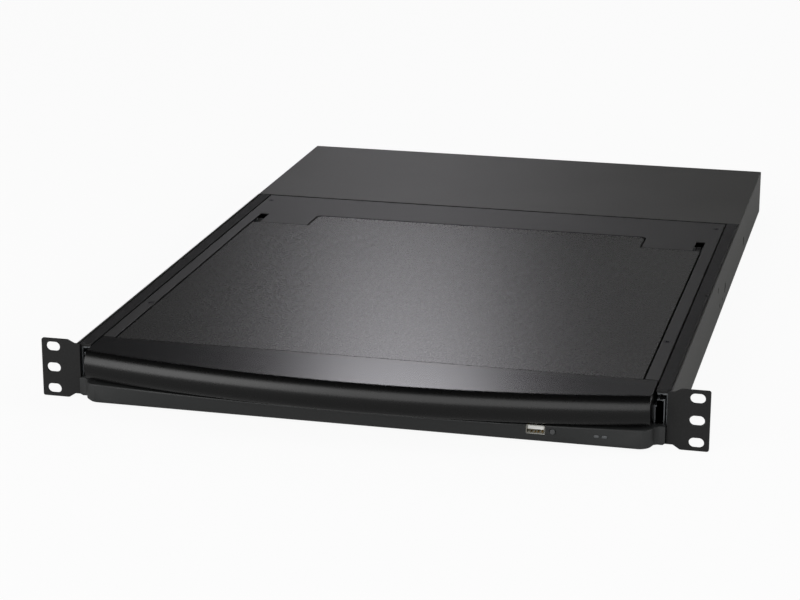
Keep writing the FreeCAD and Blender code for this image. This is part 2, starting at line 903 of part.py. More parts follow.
def power_supply():
    x0 = supply_x
    x1 = supply_x + supply_width
    y0 = bay_front
    y1 = chassis_depth - supply_rear_gap
    top = floor_top + standoff_height + board_sheet
    parts = raised_board(x0, x1, y0, y1, floor_top)
    width, depth, height = transformer
    middle = (y0 + y1) / 2
    coil_x = (x0 + x1) / 2 - width / 2
    parts.append(box(coil_x, coil_x + width, middle - depth / 2, middle + depth / 2, top, top + height))
    inset_x, inset_y = capacitor_inset
    radius, height = big_capacitor
    parts.append(rod(radius, x0 + inset_x, y1 - inset_y, top, height, UP))
    radius, height = small_capacitor
    parts.append(rod(radius, x1 - inset_x, y0 + inset_y, top, height, UP))
    sheet, height = heat_sink
    fin_reach, fin_sheet = sink_fin
    web_x = x0 + sink_inset
    fins_front = y0 + sink_front
    fins_back = y1 - capacitor_inset[1] - big_capacitor[0] - sink_front
    parts.append(box(web_x, web_x + sheet, fins_front, fins_back, top, top + height))
    pitch = (fins_back - fins_front - fin_sheet) / (sink_fins - 1)
    for n in range(sink_fins):
        y = fins_front + n * pitch
        parts.append(box(web_x + sheet, web_x + sheet + fin_reach, y, y + fin_sheet, top, top + height))
    return fused(parts)


def main_board():
    x1 = main_x + main_width
    top = floor_top + standoff_height + board_sheet
    parts = raised_board(main_x, x1, bay_front, chassis_depth - main_rear_gap, floor_top)
    for spec in main_chips + (main_header,):
        parts.append(on_board(main_x, bay_front, top, spec))
    return fused(parts)


# Drawer tray, its top frame and the screws that hold the frame


def frame_screw(y):
    head = Part.makeCone(
        frame_screw_shank, frame_screw_head, drawer_sheet, V(frame_screw_x, y, frame_under), UP
    )
    low = frame_under - frame_screw_length
    shank = rod(frame_screw_shank, frame_screw_x, y, low, frame_screw_length, UP)
    return fused([head, shank])


frame_screws = [frame_screw(y) for y in frame_screw_rows]


def drawer_screws():
    return both_sides(group(frame_screws))


def drawer_tray():
    low_top = bezel_top - bezel_shelf
    floor = box(-drawer_half, drawer_half, 0, drawer_rear, drawer_floor, tray_top)
    side = box(tray_inside, drawer_half, tray_front, drawer_rear, drawer_floor, frame_under)
    side = side.fuse(box(tray_inside, drawer_half, 0, tray_front, drawer_floor, low_top))
    tabs = []
    for y in frame_screw_rows:
        y0 = y - frame_tab_half
        y1 = y + frame_tab_half
        tabs.append(box(strip_edge, tray_inside, y0, y1, frame_under - tab_sheet, frame_under))
    side = fused([side] + tabs)
    rear = box(-tray_inside, tray_inside, drawer_rear - drawer_sheet, drawer_rear, tray_top, frame_under)
    x0, x1, z0, z1 = tray_notch
    rear = rear.cut(box(x0, x1, drawer_rear - drawer_sheet, drawer_rear, z0, z1))
    front = box(-tray_inside, tray_inside, 0, drawer_sheet, tray_top, low_top)
    tab_x0 = arm_x - arm_tab_half
    tab_x1 = arm_x + arm_tab_half
    tab_back = arm_y + arm_tab_half
    arm_tab = box(tab_x0, tab_x1, drawer_rear, tab_back, arm_tab_low, arm_tab_low + arm_tab_sheet)
    slot_radius = arm_pin_radius + arm_slot_play
    slot = box(
        arm_x - slot_radius, arm_x + slot_radius, arm_y - arm_slot_travel, arm_y,
        arm_tab_low, arm_tab_low + arm_tab_sheet
    )
    ends = []
    for y in (arm_y - arm_slot_travel, arm_y):
        ends.append(rod(slot_radius, arm_x, y, arm_tab_low, arm_tab_sheet, UP))
    arm_tab = arm_tab.cut(fused([slot] + ends))
    tray = fused([floor, side, mirrored(side), rear, front, arm_tab])
    for screw in frame_screws:
        tray = tray.cut(screw).cut(mirrored(screw))
    return tray


def drawer_top_frame():
    sheet = box(-drawer_half, drawer_half, tray_front, drawer_rear, frame_under, top_z)
    lid_hole = box(-strip_edge, strip_edge, tray_front, lid_rear + lid_gap, frame_under, top_z)
    neck_edge = neck_half + lid_gap
    neck_back = neck_rear + neck_gap
    neck_hole = box(-neck_edge, neck_edge, lid_rear, neck_back, frame_under, top_z)
    neck_hole = rounded(neck_hole, neck_corner, UP, lambda c: c.y > neck_back - NEAR)
    slot = box(
        hinge_slot_inner, hinge_slot_inner + hinge_slot_width, lid_rear, lid_rear + hinge_slot_length,
        frame_under, top_z
    )
    sheet = sheet.cut(lid_hole).cut(neck_hole).cut(slot).cut(mirrored(slot))
    for screw in frame_screws:
        sheet = sheet.cut(screw).cut(mirrored(screw))
    return sheet


# Lower bezel: curved upper front edge, straight lower edge, shoulders in front of the slides


def bezel_front_y(share):
    return bezel_front_mid + (bezel_front_end - bezel_draft - bezel_front_mid) * share


def bezel_section(z, inset, back):
    share = (bezel_top - z) / (bezel_top - bezel_bottom)
    mid = bezel_front_y(share) + inset
    end = bezel_front_end + inset
    flat = bezel_flat_half - inset / 2
    turn_x = shoulder_x - inset
    turn_y = shoulder_y + inset / 2
    turn = V(turn_x, turn_y, z)
    lug_y = bezel_lug_front + inset
    lug = V(turn_x + lug_run, lug_y, z)
    side = bezel_half - inset
    along, out = shoulder_bend
    out_mid = V(flat + (turn_x - flat) * along, end + (turn_y - end) * out, z)
    along, out = lug_bend
    in_mid = V(turn_x + lug_run * along, turn_y + (lug_y - turn_y) * out, z)
    right = [
        Part.Arc(V(flat, end, z), out_mid, turn).toShape(),
        Part.Arc(turn, in_mid, lug).toShape(),
        Part.LineSegment(lug, V(side, lug_y, z)).toShape(),
        Part.LineSegment(V(side, lug_y, z), V(side, back, z)).toShape(),
    ]
    left = [edge.mirror(V(0, 0, 0), ACROSS) for edge in right]
    front = Part.Arc(V(-flat, end, z), V(0, mid, z), V(flat, end, z)).toShape()
    rear = Part.LineSegment(V(side, back, z), V(-side, back, z)).toShape()
    return Part.Wire(Part.__sortEdges__([front] + right + [rear] + left))


def bezel_loft(levels, back):
    return Part.makeLoft([bezel_section(z, inset, back) for z, inset in levels], True, True)


def face_y(x, z):
    share = (bezel_top - z) / (bezel_top - bezel_bottom)
    mid = bezel_front_y(share)
    return mid + (bezel_front_end - mid) * (x / bezel_flat_half) ** 2


def light_pipes(y0, y1):
    width, height = light_size
    spots = (light_x - light_spread, light_x + light_spread)
    return group([obround(x, light_z, width, height, y0, y1) for x in spots])


def collar_front():
    return face_y(reset_x, reset_z) + bezel_wall + reset_slack


def front_bezel():
    outside = [(bezel_top, bezel_lip), (bezel_top - bezel_lip, 0), (bezel_bottom + bezel_chamfer, 0)]
    outside.append((bezel_bottom, bezel_chamfer))
    shell = bezel_loft(outside, 0)
    inner_top = bezel_top - bezel_shelf
    inner_low = bezel_bottom + bezel_wall
    hollow = bezel_loft([(inner_top, bezel_wall), (inner_low, bezel_wall)], chassis_sheet)
    keep_half = bezel_flat_half + bezel_wall
    keep = box(-keep_half, keep_half, bezel_front_mid, 0, bezel_bottom, bezel_top)
    shell = shell.cut(hollow.common(keep))
    shelf_half = tray_inside - bezel_shelf_gap
    shelf = box(-shelf_half, shelf_half, 0, tray_front - bezel_shelf_gap, inner_top, bezel_top)
    width, height = usb_size
    usb_low = usb_z - height / 2
    usb_hole = box(usb_x - width / 2, usb_x + width / 2, bezel_front_mid, -drawer_sheet, usb_low, bezel_top)
    reach = -bezel_front_mid - drawer_sheet
    reset_hole = rod(reset_radius + button_gap, reset_x, bezel_front_mid, reset_z, reach, BACK)
    collar_y = collar_front()
    collar_radius = reset_radius + reset_collar + button_gap
    collar_hole = rod(collar_radius, reset_x, collar_y, reset_z, -collar_y - drawer_sheet, BACK)
    holes = [usb_hole, reset_hole, collar_hole, light_pipes(bezel_front_mid, -drawer_sheet)]
    return fused([shell, shelf]).cut(Part.makeCompound(holes))


def usb_port_front():
    width, height = usb_size
    front = face_y(usb_x, usb_z) + usb_sink
    high = usb_z + height / 2
    shell = centred(usb_x, usb_z, usb_size, front, front + usb_depth)
    inside = (width - 2 * usb_wall, height - 2 * usb_wall)
    tongue_width, tongue_sheet, tongue_length = usb_tongue
    tongue_y = front + usb_tongue_back
    floor_y = tongue_y + tongue_length
    hollow = centred(usb_x, usb_z, inside, front, floor_y)
    tongue_top = high - usb_tongue_drop
    tongue_low = tongue_top - tongue_sheet
    half = tongue_width / 2
    tongue = box(usb_x - half, usb_x + half, tongue_y, floor_y, tongue_low, tongue_top)
    return fused([shell.cut(hollow), tongue])


def reset_button():
    face = face_y(reset_x, reset_z)
    collar_y = collar_front()
    cap = rod(reset_radius, reset_x, face - reset_proud, reset_z, collar_y - face + reset_proud, BACK)
    collar = rod(reset_radius + reset_collar, reset_x, collar_y, reset_z, reset_collar, BACK)
    return fused([cap, collar])


def status_light():
    front = face_y(light_x, light_z) - light_proud
    return light_pipes(front, front + light_length)


def front_board():
    y = face_y(usb_x, usb_z) + usb_sink + usb_depth
    low = bezel_bottom + bezel_wall
    high = bezel_top - bezel_shelf
    board = box(usb_x - board_margin, light_x + board_margin, y, y + board_sheet, low, high)
    switch_y = collar_front() + reset_collar + reset_travel + board_gap
    half = reset_switch
    switch = box(reset_x - half, reset_x + half, switch_y, y, reset_z - half, high)
    lamp_y = face_y(light_x, light_z) - light_proud + light_length + board_gap
    width, drop = light_block
    lamp = box(light_x - width / 2, light_x + width / 2, lamp_y, y, light_z - drop, high)
    return fused([board, switch, lamp])


# Keyboard deck: palm rest, key well and touchpad, standing on the tray floor by its skirt

deck_half = tray_inside - deck_side_gap
key_pitch = (2 * (deck_half - keyboard_side_margin) - keypad_gap) / (main_units + pad_units)
keyboard_depth = key_rows * key_pitch + function_depth + 2 * well_margin
keys_front = deck_rear - keyboard_rear_margin - keyboard_depth
keys_width = (main_units + pad_units) * key_pitch + keypad_gap
keys_left = -keys_width / 2
keypad_left = keys_left + main_units * key_pitch + keypad_gap
well_front = keys_front - well_margin
well_back = keys_front + keyboard_depth
well_left = keys_left - well_margin
base_top = deck_under
base_inside = key_bottom - key_travel - key_rest_gap
base_low = base_inside - base_floor

ROWS = {
    "number_keys": (4, [1] * 13 + [2]),
    "upper_keys": (3, [1.5] + [1] * 12 + [1.5]),
    "home_keys": (2, [1.75] + [1] * 11 + [2.25]),
    "shift_keys": (1, [2.25] + [1] * 10 + [2.75]),
}
LOW_LEFT = [1.25] * 3
SPACE_UNITS = 6.25
LOW_RIGHT = [1] * 5


def key(x, y, width, depth):
    gap = key_gap / 2
    cap = frustum(
        x + gap, x + width - gap, y + gap, y + depth - gap, key_bottom, key_bottom + key_height, key_taper
    )
    cx = x + width / 2
    cy = y + depth / 2
    half = key_stem / 2
    stem = box(cx - half, cx + half, cy - half, cy + half, key_bottom - key_stem_drop, key_bottom)
    return cap.fuse(stem)


def row_spots(row, widths, left=None):
    x = keys_left if left is None else left
    y = keys_front + row * key_pitch
    spots = []
    for units in widths:
        spots.append((x, y, units * key_pitch, key_pitch))
        x += units * key_pitch
    return spots


def function_spots():
    y = keys_front + key_rows * key_pitch + well_margin
    width = main_units * key_pitch / function_count
    return [(keys_left + n * width, y, width, function_depth) for n in range(function_count)]


def low_spots():
    left = row_spots(0, LOW_LEFT)
    start = keys_left + (sum(LOW_LEFT) + SPACE_UNITS) * key_pitch
    return left + row_spots(0, LOW_RIGHT, start)


def space_spots():
    return row_spots(0, [SPACE_UNITS], keys_left + sum(LOW_LEFT) * key_pitch)


def keypad_spots():
    p = key_pitch
    x = keypad_left
    y = keys_front
    spots = [(x, y, 2 * p, p), (x + 2 * p, y, p, p), (x + 3 * p, y, p, 2 * p)]
    for row in (1, 2, 3):
        spots += [(x + n * p, y + row * p, p, p) for n in range(3)]
    spots.append((x + 3 * p, y + 2 * p, p, 2 * p))
    spots += [(x + n * p, y + 4 * p, p, p) for n in range(4)]
    top = keys_front + key_rows * key_pitch + well_margin
    spots += [(x + n * p, top, p, function_depth) for n in range(4)]
    return spots


KEY_GROUPS = {name: row_spots(row, widths) for name, (row, widths) in ROWS.items()}
KEY_GROUPS["function_keys"] = function_spots()
KEY_GROUPS["bottom_keys"] = low_spots()
KEY_GROUPS["space_bar"] = space_spots()
KEY_GROUPS["keypad_keys"] = keypad_spots()


def keyboard_base():
    x0 = well_left - base_margin
    y0 = well_front - base_margin
    y1 = well_back + base_margin
    base = box(x0, -x0, y0, y1, base_low, base_top)
    base = base.cut(box(well_left, -well_left, well_front, well_back, base_inside, base_top))
    half = key_stem / 2 + key_guide_gap
    guides = []
    for spots in KEY_GROUPS.values():
        for x, y, width, depth in spots:
            cx = x + width / 2
            cy = y + depth / 2
            guides.append(box(cx - half, cx + half, cy - half, cy + half, base_low, base_inside))
    return base.cut(Part.makeCompound(guides))


pad_front = (tray_front + well_front - pad_depth + pad_button_depth) / 2
pad_back = pad_front + pad_depth
pad_buttons_front = pad_front - pad_button_depth
carrier_top = deck_top - carrier_drop


def keyboard_deck():
    top = box(-deck_half, deck_half, tray_front, deck_rear, deck_under, deck_top)
    skirt = box(-deck_half, deck_half, tray_front, deck_rear, tray_top, deck_under)
    inner = deck_half - deck_sheet
    skirt_front = tray_front + deck_sheet
    skirt = skirt.cut(box(-inner, inner, skirt_front, deck_rear - deck_sheet, tray_top, deck_under))
    deck = fused([top, skirt])
    well = box(well_left, -well_left, well_front, well_back, deck_under, deck_top)
    half = pad_width / 2
    hole = box(-half, half, pad_buttons_front, pad_back, deck_under, deck_top)
    return deck.cut(well).cut(hole)


def touchpad():
    half = pad_width / 2
    wide = half + carrier_margin
    y0 = pad_buttons_front - carrier_margin
    y1 = pad_back + carrier_margin
    carrier = box(-wide, wide, y0, y1, carrier_top - carrier_sheet, deck_under)
    carrier = carrier.cut(box(-half, half, pad_buttons_front, pad_back, carrier_top, deck_under))
    side = half - pad_gap
    pad = box(-side, side, pad_front + pad_gap, pad_back - pad_gap, carrier_top, deck_top - pad_recess)
    guides = [touch_stem(side, key_guide_gap) for side in (-1, 1)]
    return fused([carrier, pad]).cut(Part.makeCompound(guides))


def touch_stem(side, grow):
    x = side * pad_width / 4
    y = pad_buttons_front + pad_button_depth / 2
    half = key_stem / 2 + grow
    low = carrier_top - carrier_sheet - touch_stem_drop
    return box(x - half, x + half, y - half, y + half, low, carrier_top + pad_button_travel + pad_gap)


def touchpad_button(side):
    x0, x1 = sorted((side * pad_button_split / 2, side * (pad_width / 2 - button_gap)))
    y0 = pad_buttons_front + button_gap
    y1 = pad_front - button_gap
    low = carrier_top + pad_button_travel + pad_gap
    cap = box(x0, x1, y0, y1, low, deck_top + pad_button_proud)
    return fused([cap, touch_stem(side, 0)])


def drawer_board():
    width, depth = keyboard_board_size
    x0 = keyboard_board_inset - deck_half
    y0 = tray_front + keyboard_board_front
    parts = raised_board(x0, x0 + width, y0, y0 + depth, tray_top)
    top = tray_top + standoff_height + board_sheet
    for spec in (keyboard_chip, keyboard_header):
        parts.append(on_board(x0, y0, top, spec))
    return fused(parts)


# Lid hinges: arms of the lid swing in slots of the top frame, on pins held by the drawer

arm_x0 = hinge_slot_inner + (hinge_slot_width - hinge_arm) / 2 - hinge_arm_shift
arm_x1 = arm_x0 + hinge_arm
hinge_arm_low = lid_wall_low + hinge_arm_rise
hinge_arm_high = lid_inner_top - hinge_arm_sink


def hinge_pin():
    x0 = arm_x0 - cheek_gap - hinge_cheek
    x1 = arm_x1 + cheek_gap + hinge_cheek
    pin = rod(hinge_pin_radius, x0, hinge_y, hinge_z, x1 - x0, ACROSS)
    tall = hinge_pin_head_height
    heads = [rod(hinge_pin_head, x, hinge_y, hinge_z, tall, ACROSS) for x in (x0 - tall, x1)]
    return fused([pin] + heads)


def hinge_cheek_plate(x0):
    post = box(x0, x0 + hinge_cheek, hinge_y - hinge_disc, hinge_y + hinge_disc, tray_top, hinge_z)
    disc = rod(hinge_disc, x0, hinge_y, hinge_z, hinge_cheek, ACROSS)
    hole = rod(hinge_pin_radius, x0, hinge_y, hinge_z, hinge_cheek, ACROSS)
    return fused([post, disc]).cut(hole)


def hinge_bracket():
    inner = arm_x0 - cheek_gap - hinge_cheek
    outer = arm_x1 + cheek_gap
    y0 = hinge_y - hinge_foot_front
    y1 = hinge_y + hinge_foot_back
    foot = box(inner, outer + hinge_cheek, y0, y1, tray_top, tray_top + hinge_cheek)
    return fused([foot, hinge_cheek_plate(inner), hinge_cheek_plate(outer)])


def hinge_arm_plate():
    bar = box(arm_x0, arm_x1, hinge_arm_front, hinge_y, hinge_arm_low, hinge_arm_high)
    disc = rod(hinge_disc, arm_x0, hinge_y, hinge_z, hinge_arm, ACROSS)
    hole = rod(hinge_pin_radius + pin_clearance, arm_x0, hinge_y, hinge_z, hinge_arm, ACROSS)
    return fused([bar, disc]).cut(hole)


# Lid: metal back cover, plastic bezel with the window, panel module and glass


def lid_outline(shrink, rear, z0, z1):
    side = lid_half - shrink
    neck = neck_half - shrink
    main = box(-side, side, parting_y + shrink, rear - shrink, z0, z1)
    tail = box(-neck, neck, rear - neck_corner * 2, neck_rear - shrink, z0, z1)
    tail = rounded(tail, neck_corner - shrink, UP, lambda c: c.y > neck_rear - shrink - NEAR)
    return fused([main, tail])


def lid_cover():
    neck_wall_low = top_z - neck_wall_depth
    top = lid_outline(0, lid_rear, lid_inner_top, top_z)
    walls = lid_outline(0, lid_wall_rear, neck_wall_low, lid_inner_top)
    walls = walls.cut(lid_outline(lid_sheet, lid_wall_rear, neck_wall_low, lid_inner_top))
    side = lid_half
    inner = lid_half - lid_sheet
    inner_rear = lid_wall_rear - lid_sheet
    skirt = box(-side, side, parting_y, lid_wall_rear, lid_wall_low, neck_wall_low)
    skirt = skirt.cut(box(-inner, inner, parting_y + lid_sheet, inner_rear, lid_wall_low, neck_wall_low))
    shell = fused([top, walls, skirt])
    notch_top = hinge_arm_high + lid_notch_margin
    notch = box(arm_x0 - lid_notch_margin, inner, inner_rear, lid_wall_rear, lid_wall_low, notch_top)
    return shell.cut(notch).cut(mirrored(notch))


def osd_cap(x, grow, z0, z1):
    width, depth = osd_size
    half = width / 2 + grow
    deep = depth / 2 + grow
    return box(x - half, x + half, osd_y - deep, osd_y + deep, z0, z1)


def osd_button(x):
    top = lid_wall_low + osd_play
    cap = osd_cap(x, 0, lid_underside - osd_proud, top)
    flange = osd_cap(x, osd_flange, top, top + osd_flange)
    return fused([cap, flange])


def lid_bezel():
    plate = box(-lid_half, lid_half, parting_y, lid_wall_rear, lid_underside, lid_wall_low)
    half = window_width / 2
    slope = lid_plate
    opening = frustum(
        -half - slope, half + slope, window_front - slope, window_front + window_depth + slope,
        lid_underside, lid_wall_low, slope
    )
    out = lid_half - lid_sheet
    low = lid_wall_low
    high = low + rim_height
    front = parting_y + lid_sheet
    back = lid_wall_rear - lid_sheet
    side = box(out - rim_sheet, out, front, hinge_arm_front - rim_end_gap, low, high)
    rims = [side, mirrored(side), box(-out, out, front, front + rim_sheet, low, high)]
    rear_half = lid_half - rim_rear_inset
    rims.append(box(-rear_half, rear_half, back - rim_sheet, back, low, high))
    holes = [osd_cap(x, button_gap, lid_underside, lid_wall_low) for x in osd_spots + (osd_power_x,)]
    return fused([plate] + rims).cut(opening).cut(Part.makeCompound(holes))


def lcd_glass():
    half = window_width / 2 + glass_margin
    deep = window_depth / 2 + glass_margin
    top = lid_wall_low + glass_thickness
    return box(-half, half, window_mid - deep, window_mid + deep, lid_wall_low, top)


def lcd_module():
    x0, x1, front, back, height = module_board
    low = lid_wall_low + glass_thickness
    high = low + module_height
    half = window_width / 2 + module_margin
    deep = window_depth / 2 + module_depth_margin
    shell = box(-half, half, window_mid - deep, window_mid + deep, low, high - height)
    board = box(x0, x1, window_mid + front, window_mid + back, high - height, high)
    return fused([shell, board])


def lid_bumpers():
    low = deck_top + button_gap
    pads = []
    for side_inset, y in zip(bumper_side, (parting_y + bumper_end[0], lid_rear - bumper_end[1])):
        pads.append(rod(bumper_radius, lid_half - side_inset, y, low, lid_underside - low, UP))
    return both_sides(group(pads))


# Handle: satin top shell, hollow from behind, and a glossy curved bar along its front

arc_radius = (drawer_half ** 2 + handle_sagitta ** 2) / (2 * handle_sagitta)
arc_centre_y = handle_front + arc_radius


def arc_disc(radius, z0, z1):
    return Part.makeCylinder(radius, z1 - z0, V(0, arc_centre_y, z0), UP)


def handle_block(radius, inset, z0, z1, back):
    half = drawer_half - inset
    block = box(-half, half, handle_front - 1, back, z0, z1)
    return block.common(arc_disc(radius, z0, z1))


def handle_shell():
    plate = handle_block(arc_radius, 0, top_z - handle_wall, top_z, parting_y)
    body_radius = arc_radius - handle_back_step
    body = handle_block(body_radius, 0, handle_bottom, top_z, parting_y)
    hollow = handle_block(
        body_radius - handle_wall, handle_wall, handle_bottom + handle_wall, top_z - handle_wall, parting_y
    )
    bay = 2 * (drawer_half - handle_wall) / handle_ribs
    ribs = []
    for n in range(1, handle_ribs):
        x = -drawer_half + handle_wall + n * bay
        half_rib = handle_rib_sheet / 2
        ribs.append(box(x - half_rib, x + half_rib, handle_front, parting_y, handle_bottom, top_z))
    return fused([plate, body]).cut(hollow.cut(Part.makeCompound(ribs)))


def bar_outside():
    step = handle_front + handle_back_step
    front = V(0, handle_front - handle_bulge, bar_bulge_z)
    low = V(0, handle_front - bar_toe_front, handle_bottom + bar_toe_rise)
    toe = V(0, handle_front + bar_toe_back, handle_bottom)
    toe_mid = V(0, handle_front - bar_toe_mid[0], handle_bottom + bar_toe_mid[1])
    top = V(0, handle_front, top_z)
    notch = V(0, handle_front, top_z - handle_wall)
    seat = V(0, step, top_z - handle_wall)
    edges = [Part.Arc(top, front, low).toShape(), Part.Arc(low, toe_mid, toe).toShape()]
    edges.append(Part.LineSegment(seat, notch).toShape())
    edges.append(Part.LineSegment(notch, top).toShape())
    return edges, toe, seat


def bar_profile():
    edges, toe, seat = bar_outside()
    under = top_z - handle_wall - bar_seat_sheet
    heel = V(0, handle_front + bar_heel_back, handle_bottom + bar_heel_rise)
    inner_low = V(0, handle_front, handle_bottom + bar_wall)
    inner_mid = V(0, handle_front - handle_bulge + bar_wall, bar_bulge_z)
    inner_top = V(0, handle_front, under)
    seat_low = V(0, seat.y, under)
    edges.append(Part.LineSegment(toe, heel).toShape())
    edges.append(Part.LineSegment(heel, inner_low).toShape())
    edges.append(Part.Arc(inner_low, inner_mid, inner_top).toShape())
    edges.append(Part.LineSegment(inner_top, seat_low).toShape())
    edges.append(Part.LineSegment(seat_low, seat).toShape())
    return Part.Face(Part.Wire(Part.__sortEdges__(edges)))


def bar_end_profile():
    edges, toe, seat = bar_outside()
    back = V(0, seat.y, handle_bottom)
    edges.append(Part.LineSegment(toe, back).toShape())
    edges.append(Part.LineSegment(back, seat).toShape())
    return Part.Face(Part.Wire(Part.__sortEdges__(edges)))


def swept(face, half_angle):
    turned = face.copy()
    turned.rotate(V(0, arc_centre_y, 0), UP, -half_angle)
    return turned.revolve(V(0, arc_centre_y, 0), UP, 2 * half_angle)


def handle_bar():
    half_angle = math.degrees(math.asin(drawer_half / (arc_radius - handle_back_step))) + 1.0
    front = handle_front - 2 * handle_bulge
    low = handle_bottom - handle_wall
    high = top_z + handle_wall
    tall = box(-drawer_half, drawer_half, front, parting_y, low, high)
    inner = drawer_half - handle_wall
    middle = box(-inner, inner, front, parting_y, low, high)
    bar = swept(bar_profile(), half_angle).common(tall)
    ends = swept(bar_end_profile(), half_angle).common(tall.cut(middle))
    return fused([bar] + ends.Solids)


# Every node, in the order in which the object goes together

NODES = {
    "chassis_pan": chassis_pan,
    "rear_cover": rear_cover,
    "rear_panel": rear_panel,
    "ear_bracket_right": ear_bracket,
    "ear_bracket_left": lambda: mirrored(ear_bracket()),
    "slide_outer_right": slide_outer,
    "slide_outer_left": lambda: mirrored(slide_outer()),
    "chassis_screws": chassis_screws,
    "power_supply": power_supply,
    "main_board": main_board,
    "power_inlet": power_inlet,
    "power_switch_frame": power_switch_frame,
    "power_rocker": power_rocker,
    "rear_ports": rear_ports,
    "arm_bracket": arm_bracket,
    "cable_arm_rear": cable_arm_rear,
    "cable_arm_front": cable_arm_front,
    "arm_elbow_pin": arm_elbow_pin,
    "slide_middle_right": slide_middle,
    "slide_middle_left": lambda: mirrored(slide_middle()),
    "ball_cage_outer_right": ball_cage_outer,
    "ball_cage_outer_left": lambda: mirrored(ball_cage_outer()),
    "ball_cage_inner_right": ball_cage_inner,
    "ball_cage_inner_left": lambda: mirrored(ball_cage_inner()),
    "slide_inner_right": slide_inner,
    "slide_inner_left": lambda: mirrored(slide_inner()),
    "drawer_tray": drawer_tray,
    "drawer_top_frame": drawer_top_frame,
    "drawer_screws": drawer_screws,
    "front_bezel": front_bezel,
    "usb_port_front": usb_port_front,
    "reset_button": reset_button,
    "status_light": status_light,
    "front_board": front_board,
    "keyboard_deck": keyboard_deck,
    "keyboard_base": keyboard_base,
    "touchpad": touchpad,
    "touchpad_button_left": lambda: touchpad_button(-1),
    "touchpad_button_right": lambda: touchpad_button(1),
    "drawer_board": drawer_board,
    "hinge_brackets": lambda: both_sides(hinge_bracket()),
    "hinge_pins": lambda: both_sides(hinge_pin()),
    "hinge_arms": lambda: both_sides(hinge_arm_plate()),
    "lid_cover": lid_cover,
    "lid_bezel": lid_bezel,
    "lcd_glass": lcd_glass,
    "lcd_module": lcd_module,
    "lid_bumpers": lid_bumpers,
    "osd_buttons": lambda: group([osd_button(x) for x in osd_spots]),
    "screen_power_button": lambda: osd_button(osd_power_x),
    "handle_shell": handle_shell,
    "handle_bar": handle_bar,
}
for group_name, spots in KEY_GROUPS.items():
    NODES[group_name] = lambda spots=spots: group([key(*spot) for spot in spots])

os.makedirs("parts", exist_ok=True)
for name, make in NODES.items():
    shape = make()
    shape.exportStep("parts/" + name + ".step")
    print(name, len(shape.Solids), "solids", round(shape.Volume), "mm3")
print(len(NODES), "nodes")
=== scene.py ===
# %% [markdown]
# # A rackmount console drawer, dressed in Blender
#
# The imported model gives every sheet, slide and key of the drawer at its real size. This notebook gives
# those parts their finish, rounds the edges that a press or a mould rounds, and adds the small things that
# repeat. Blender works in metres, so sizes are written in millimetres and multiplied by MM.

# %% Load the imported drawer
import json
import math

import bmesh
import bpy
from mathutils import Matrix, Vector

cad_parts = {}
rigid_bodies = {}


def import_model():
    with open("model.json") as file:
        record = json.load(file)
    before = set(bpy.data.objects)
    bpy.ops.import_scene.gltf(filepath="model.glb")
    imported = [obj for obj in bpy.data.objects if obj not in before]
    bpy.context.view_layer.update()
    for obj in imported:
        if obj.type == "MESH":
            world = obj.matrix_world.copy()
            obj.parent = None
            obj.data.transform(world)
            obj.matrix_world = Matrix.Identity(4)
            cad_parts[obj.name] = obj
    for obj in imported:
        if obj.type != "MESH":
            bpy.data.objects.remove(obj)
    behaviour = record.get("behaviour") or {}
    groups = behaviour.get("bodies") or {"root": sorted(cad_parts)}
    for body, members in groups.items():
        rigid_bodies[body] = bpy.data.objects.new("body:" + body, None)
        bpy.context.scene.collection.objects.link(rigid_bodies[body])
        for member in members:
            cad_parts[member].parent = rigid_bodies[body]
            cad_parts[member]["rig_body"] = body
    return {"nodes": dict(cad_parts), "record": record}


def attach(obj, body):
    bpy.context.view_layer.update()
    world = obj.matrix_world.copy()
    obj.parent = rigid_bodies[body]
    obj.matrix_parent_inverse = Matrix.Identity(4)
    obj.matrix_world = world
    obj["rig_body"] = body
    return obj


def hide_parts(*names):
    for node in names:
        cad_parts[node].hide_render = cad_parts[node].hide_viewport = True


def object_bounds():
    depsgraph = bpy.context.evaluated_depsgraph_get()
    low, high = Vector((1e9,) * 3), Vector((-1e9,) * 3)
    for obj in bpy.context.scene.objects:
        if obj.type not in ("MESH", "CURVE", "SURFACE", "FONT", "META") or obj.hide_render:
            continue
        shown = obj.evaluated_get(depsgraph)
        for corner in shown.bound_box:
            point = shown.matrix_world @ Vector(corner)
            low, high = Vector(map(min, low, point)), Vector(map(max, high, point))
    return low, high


MM = 0.001
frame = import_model()
cad_low, cad_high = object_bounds()
scene = bpy.context.scene
slot_of = {part["node"]: part["material_slot"] for part in frame["record"]["subparts"]}

# %% [markdown]
# ## One helper for every node
#
# Shader trees and geometry trees are both lists of nodes with settings and links. They could be drawn by
# hand in the node editor, but a script can be run again and read. One function covers both kinds of tree: a
# setting whose name is a property of the node goes there, and any other goes to the input of that name.


# %% The node helper and the colour helper
def add(tree, kind, settings=None, links=None):
    """Adds one node, fills its settings and links its inputs."""
    node = tree.nodes.new(kind)
    for name, value in (settings or {}).items():
        if isinstance(name, str) and hasattr(node, name):
            setattr(node, name, value)
        else:
            node.inputs[name].default_value = value
    for name, source in (links or {}).items():
        tree.links.new(source, node.inputs[name])
    return node


def linear(code):
    """Turns an sRGB hex colour into the linear values that a shader works in."""
    channels = [int(code[i:i + 2], 16) / 255 for i in (1, 3, 5)]
    return [c / 12.92 if c <= 0.04045 else ((c + 0.055) / 1.055) ** 2.4 for c in channels] + [1.0]


def placed(name, data):
    """An object for a mesh, a lamp or a camera, put in the scene."""
    thing = bpy.data.objects.new(name, data)
    scene.collection.objects.link(thing)
    return thing


print("a mid grey is", round(linear("#808080")[0], 3), "in linear light")


# %% [markdown]
# ## The camera
#
# The picture was taken from a little above the drawer and from its right, with a long lens, which hardly
# shrinks the far end. A camera can be moved by eye until it looks right. This one was fitted instead to the
# corners of the rack ears and of the box, whose real sizes are known, so that lines fall where they do in
# the picture.

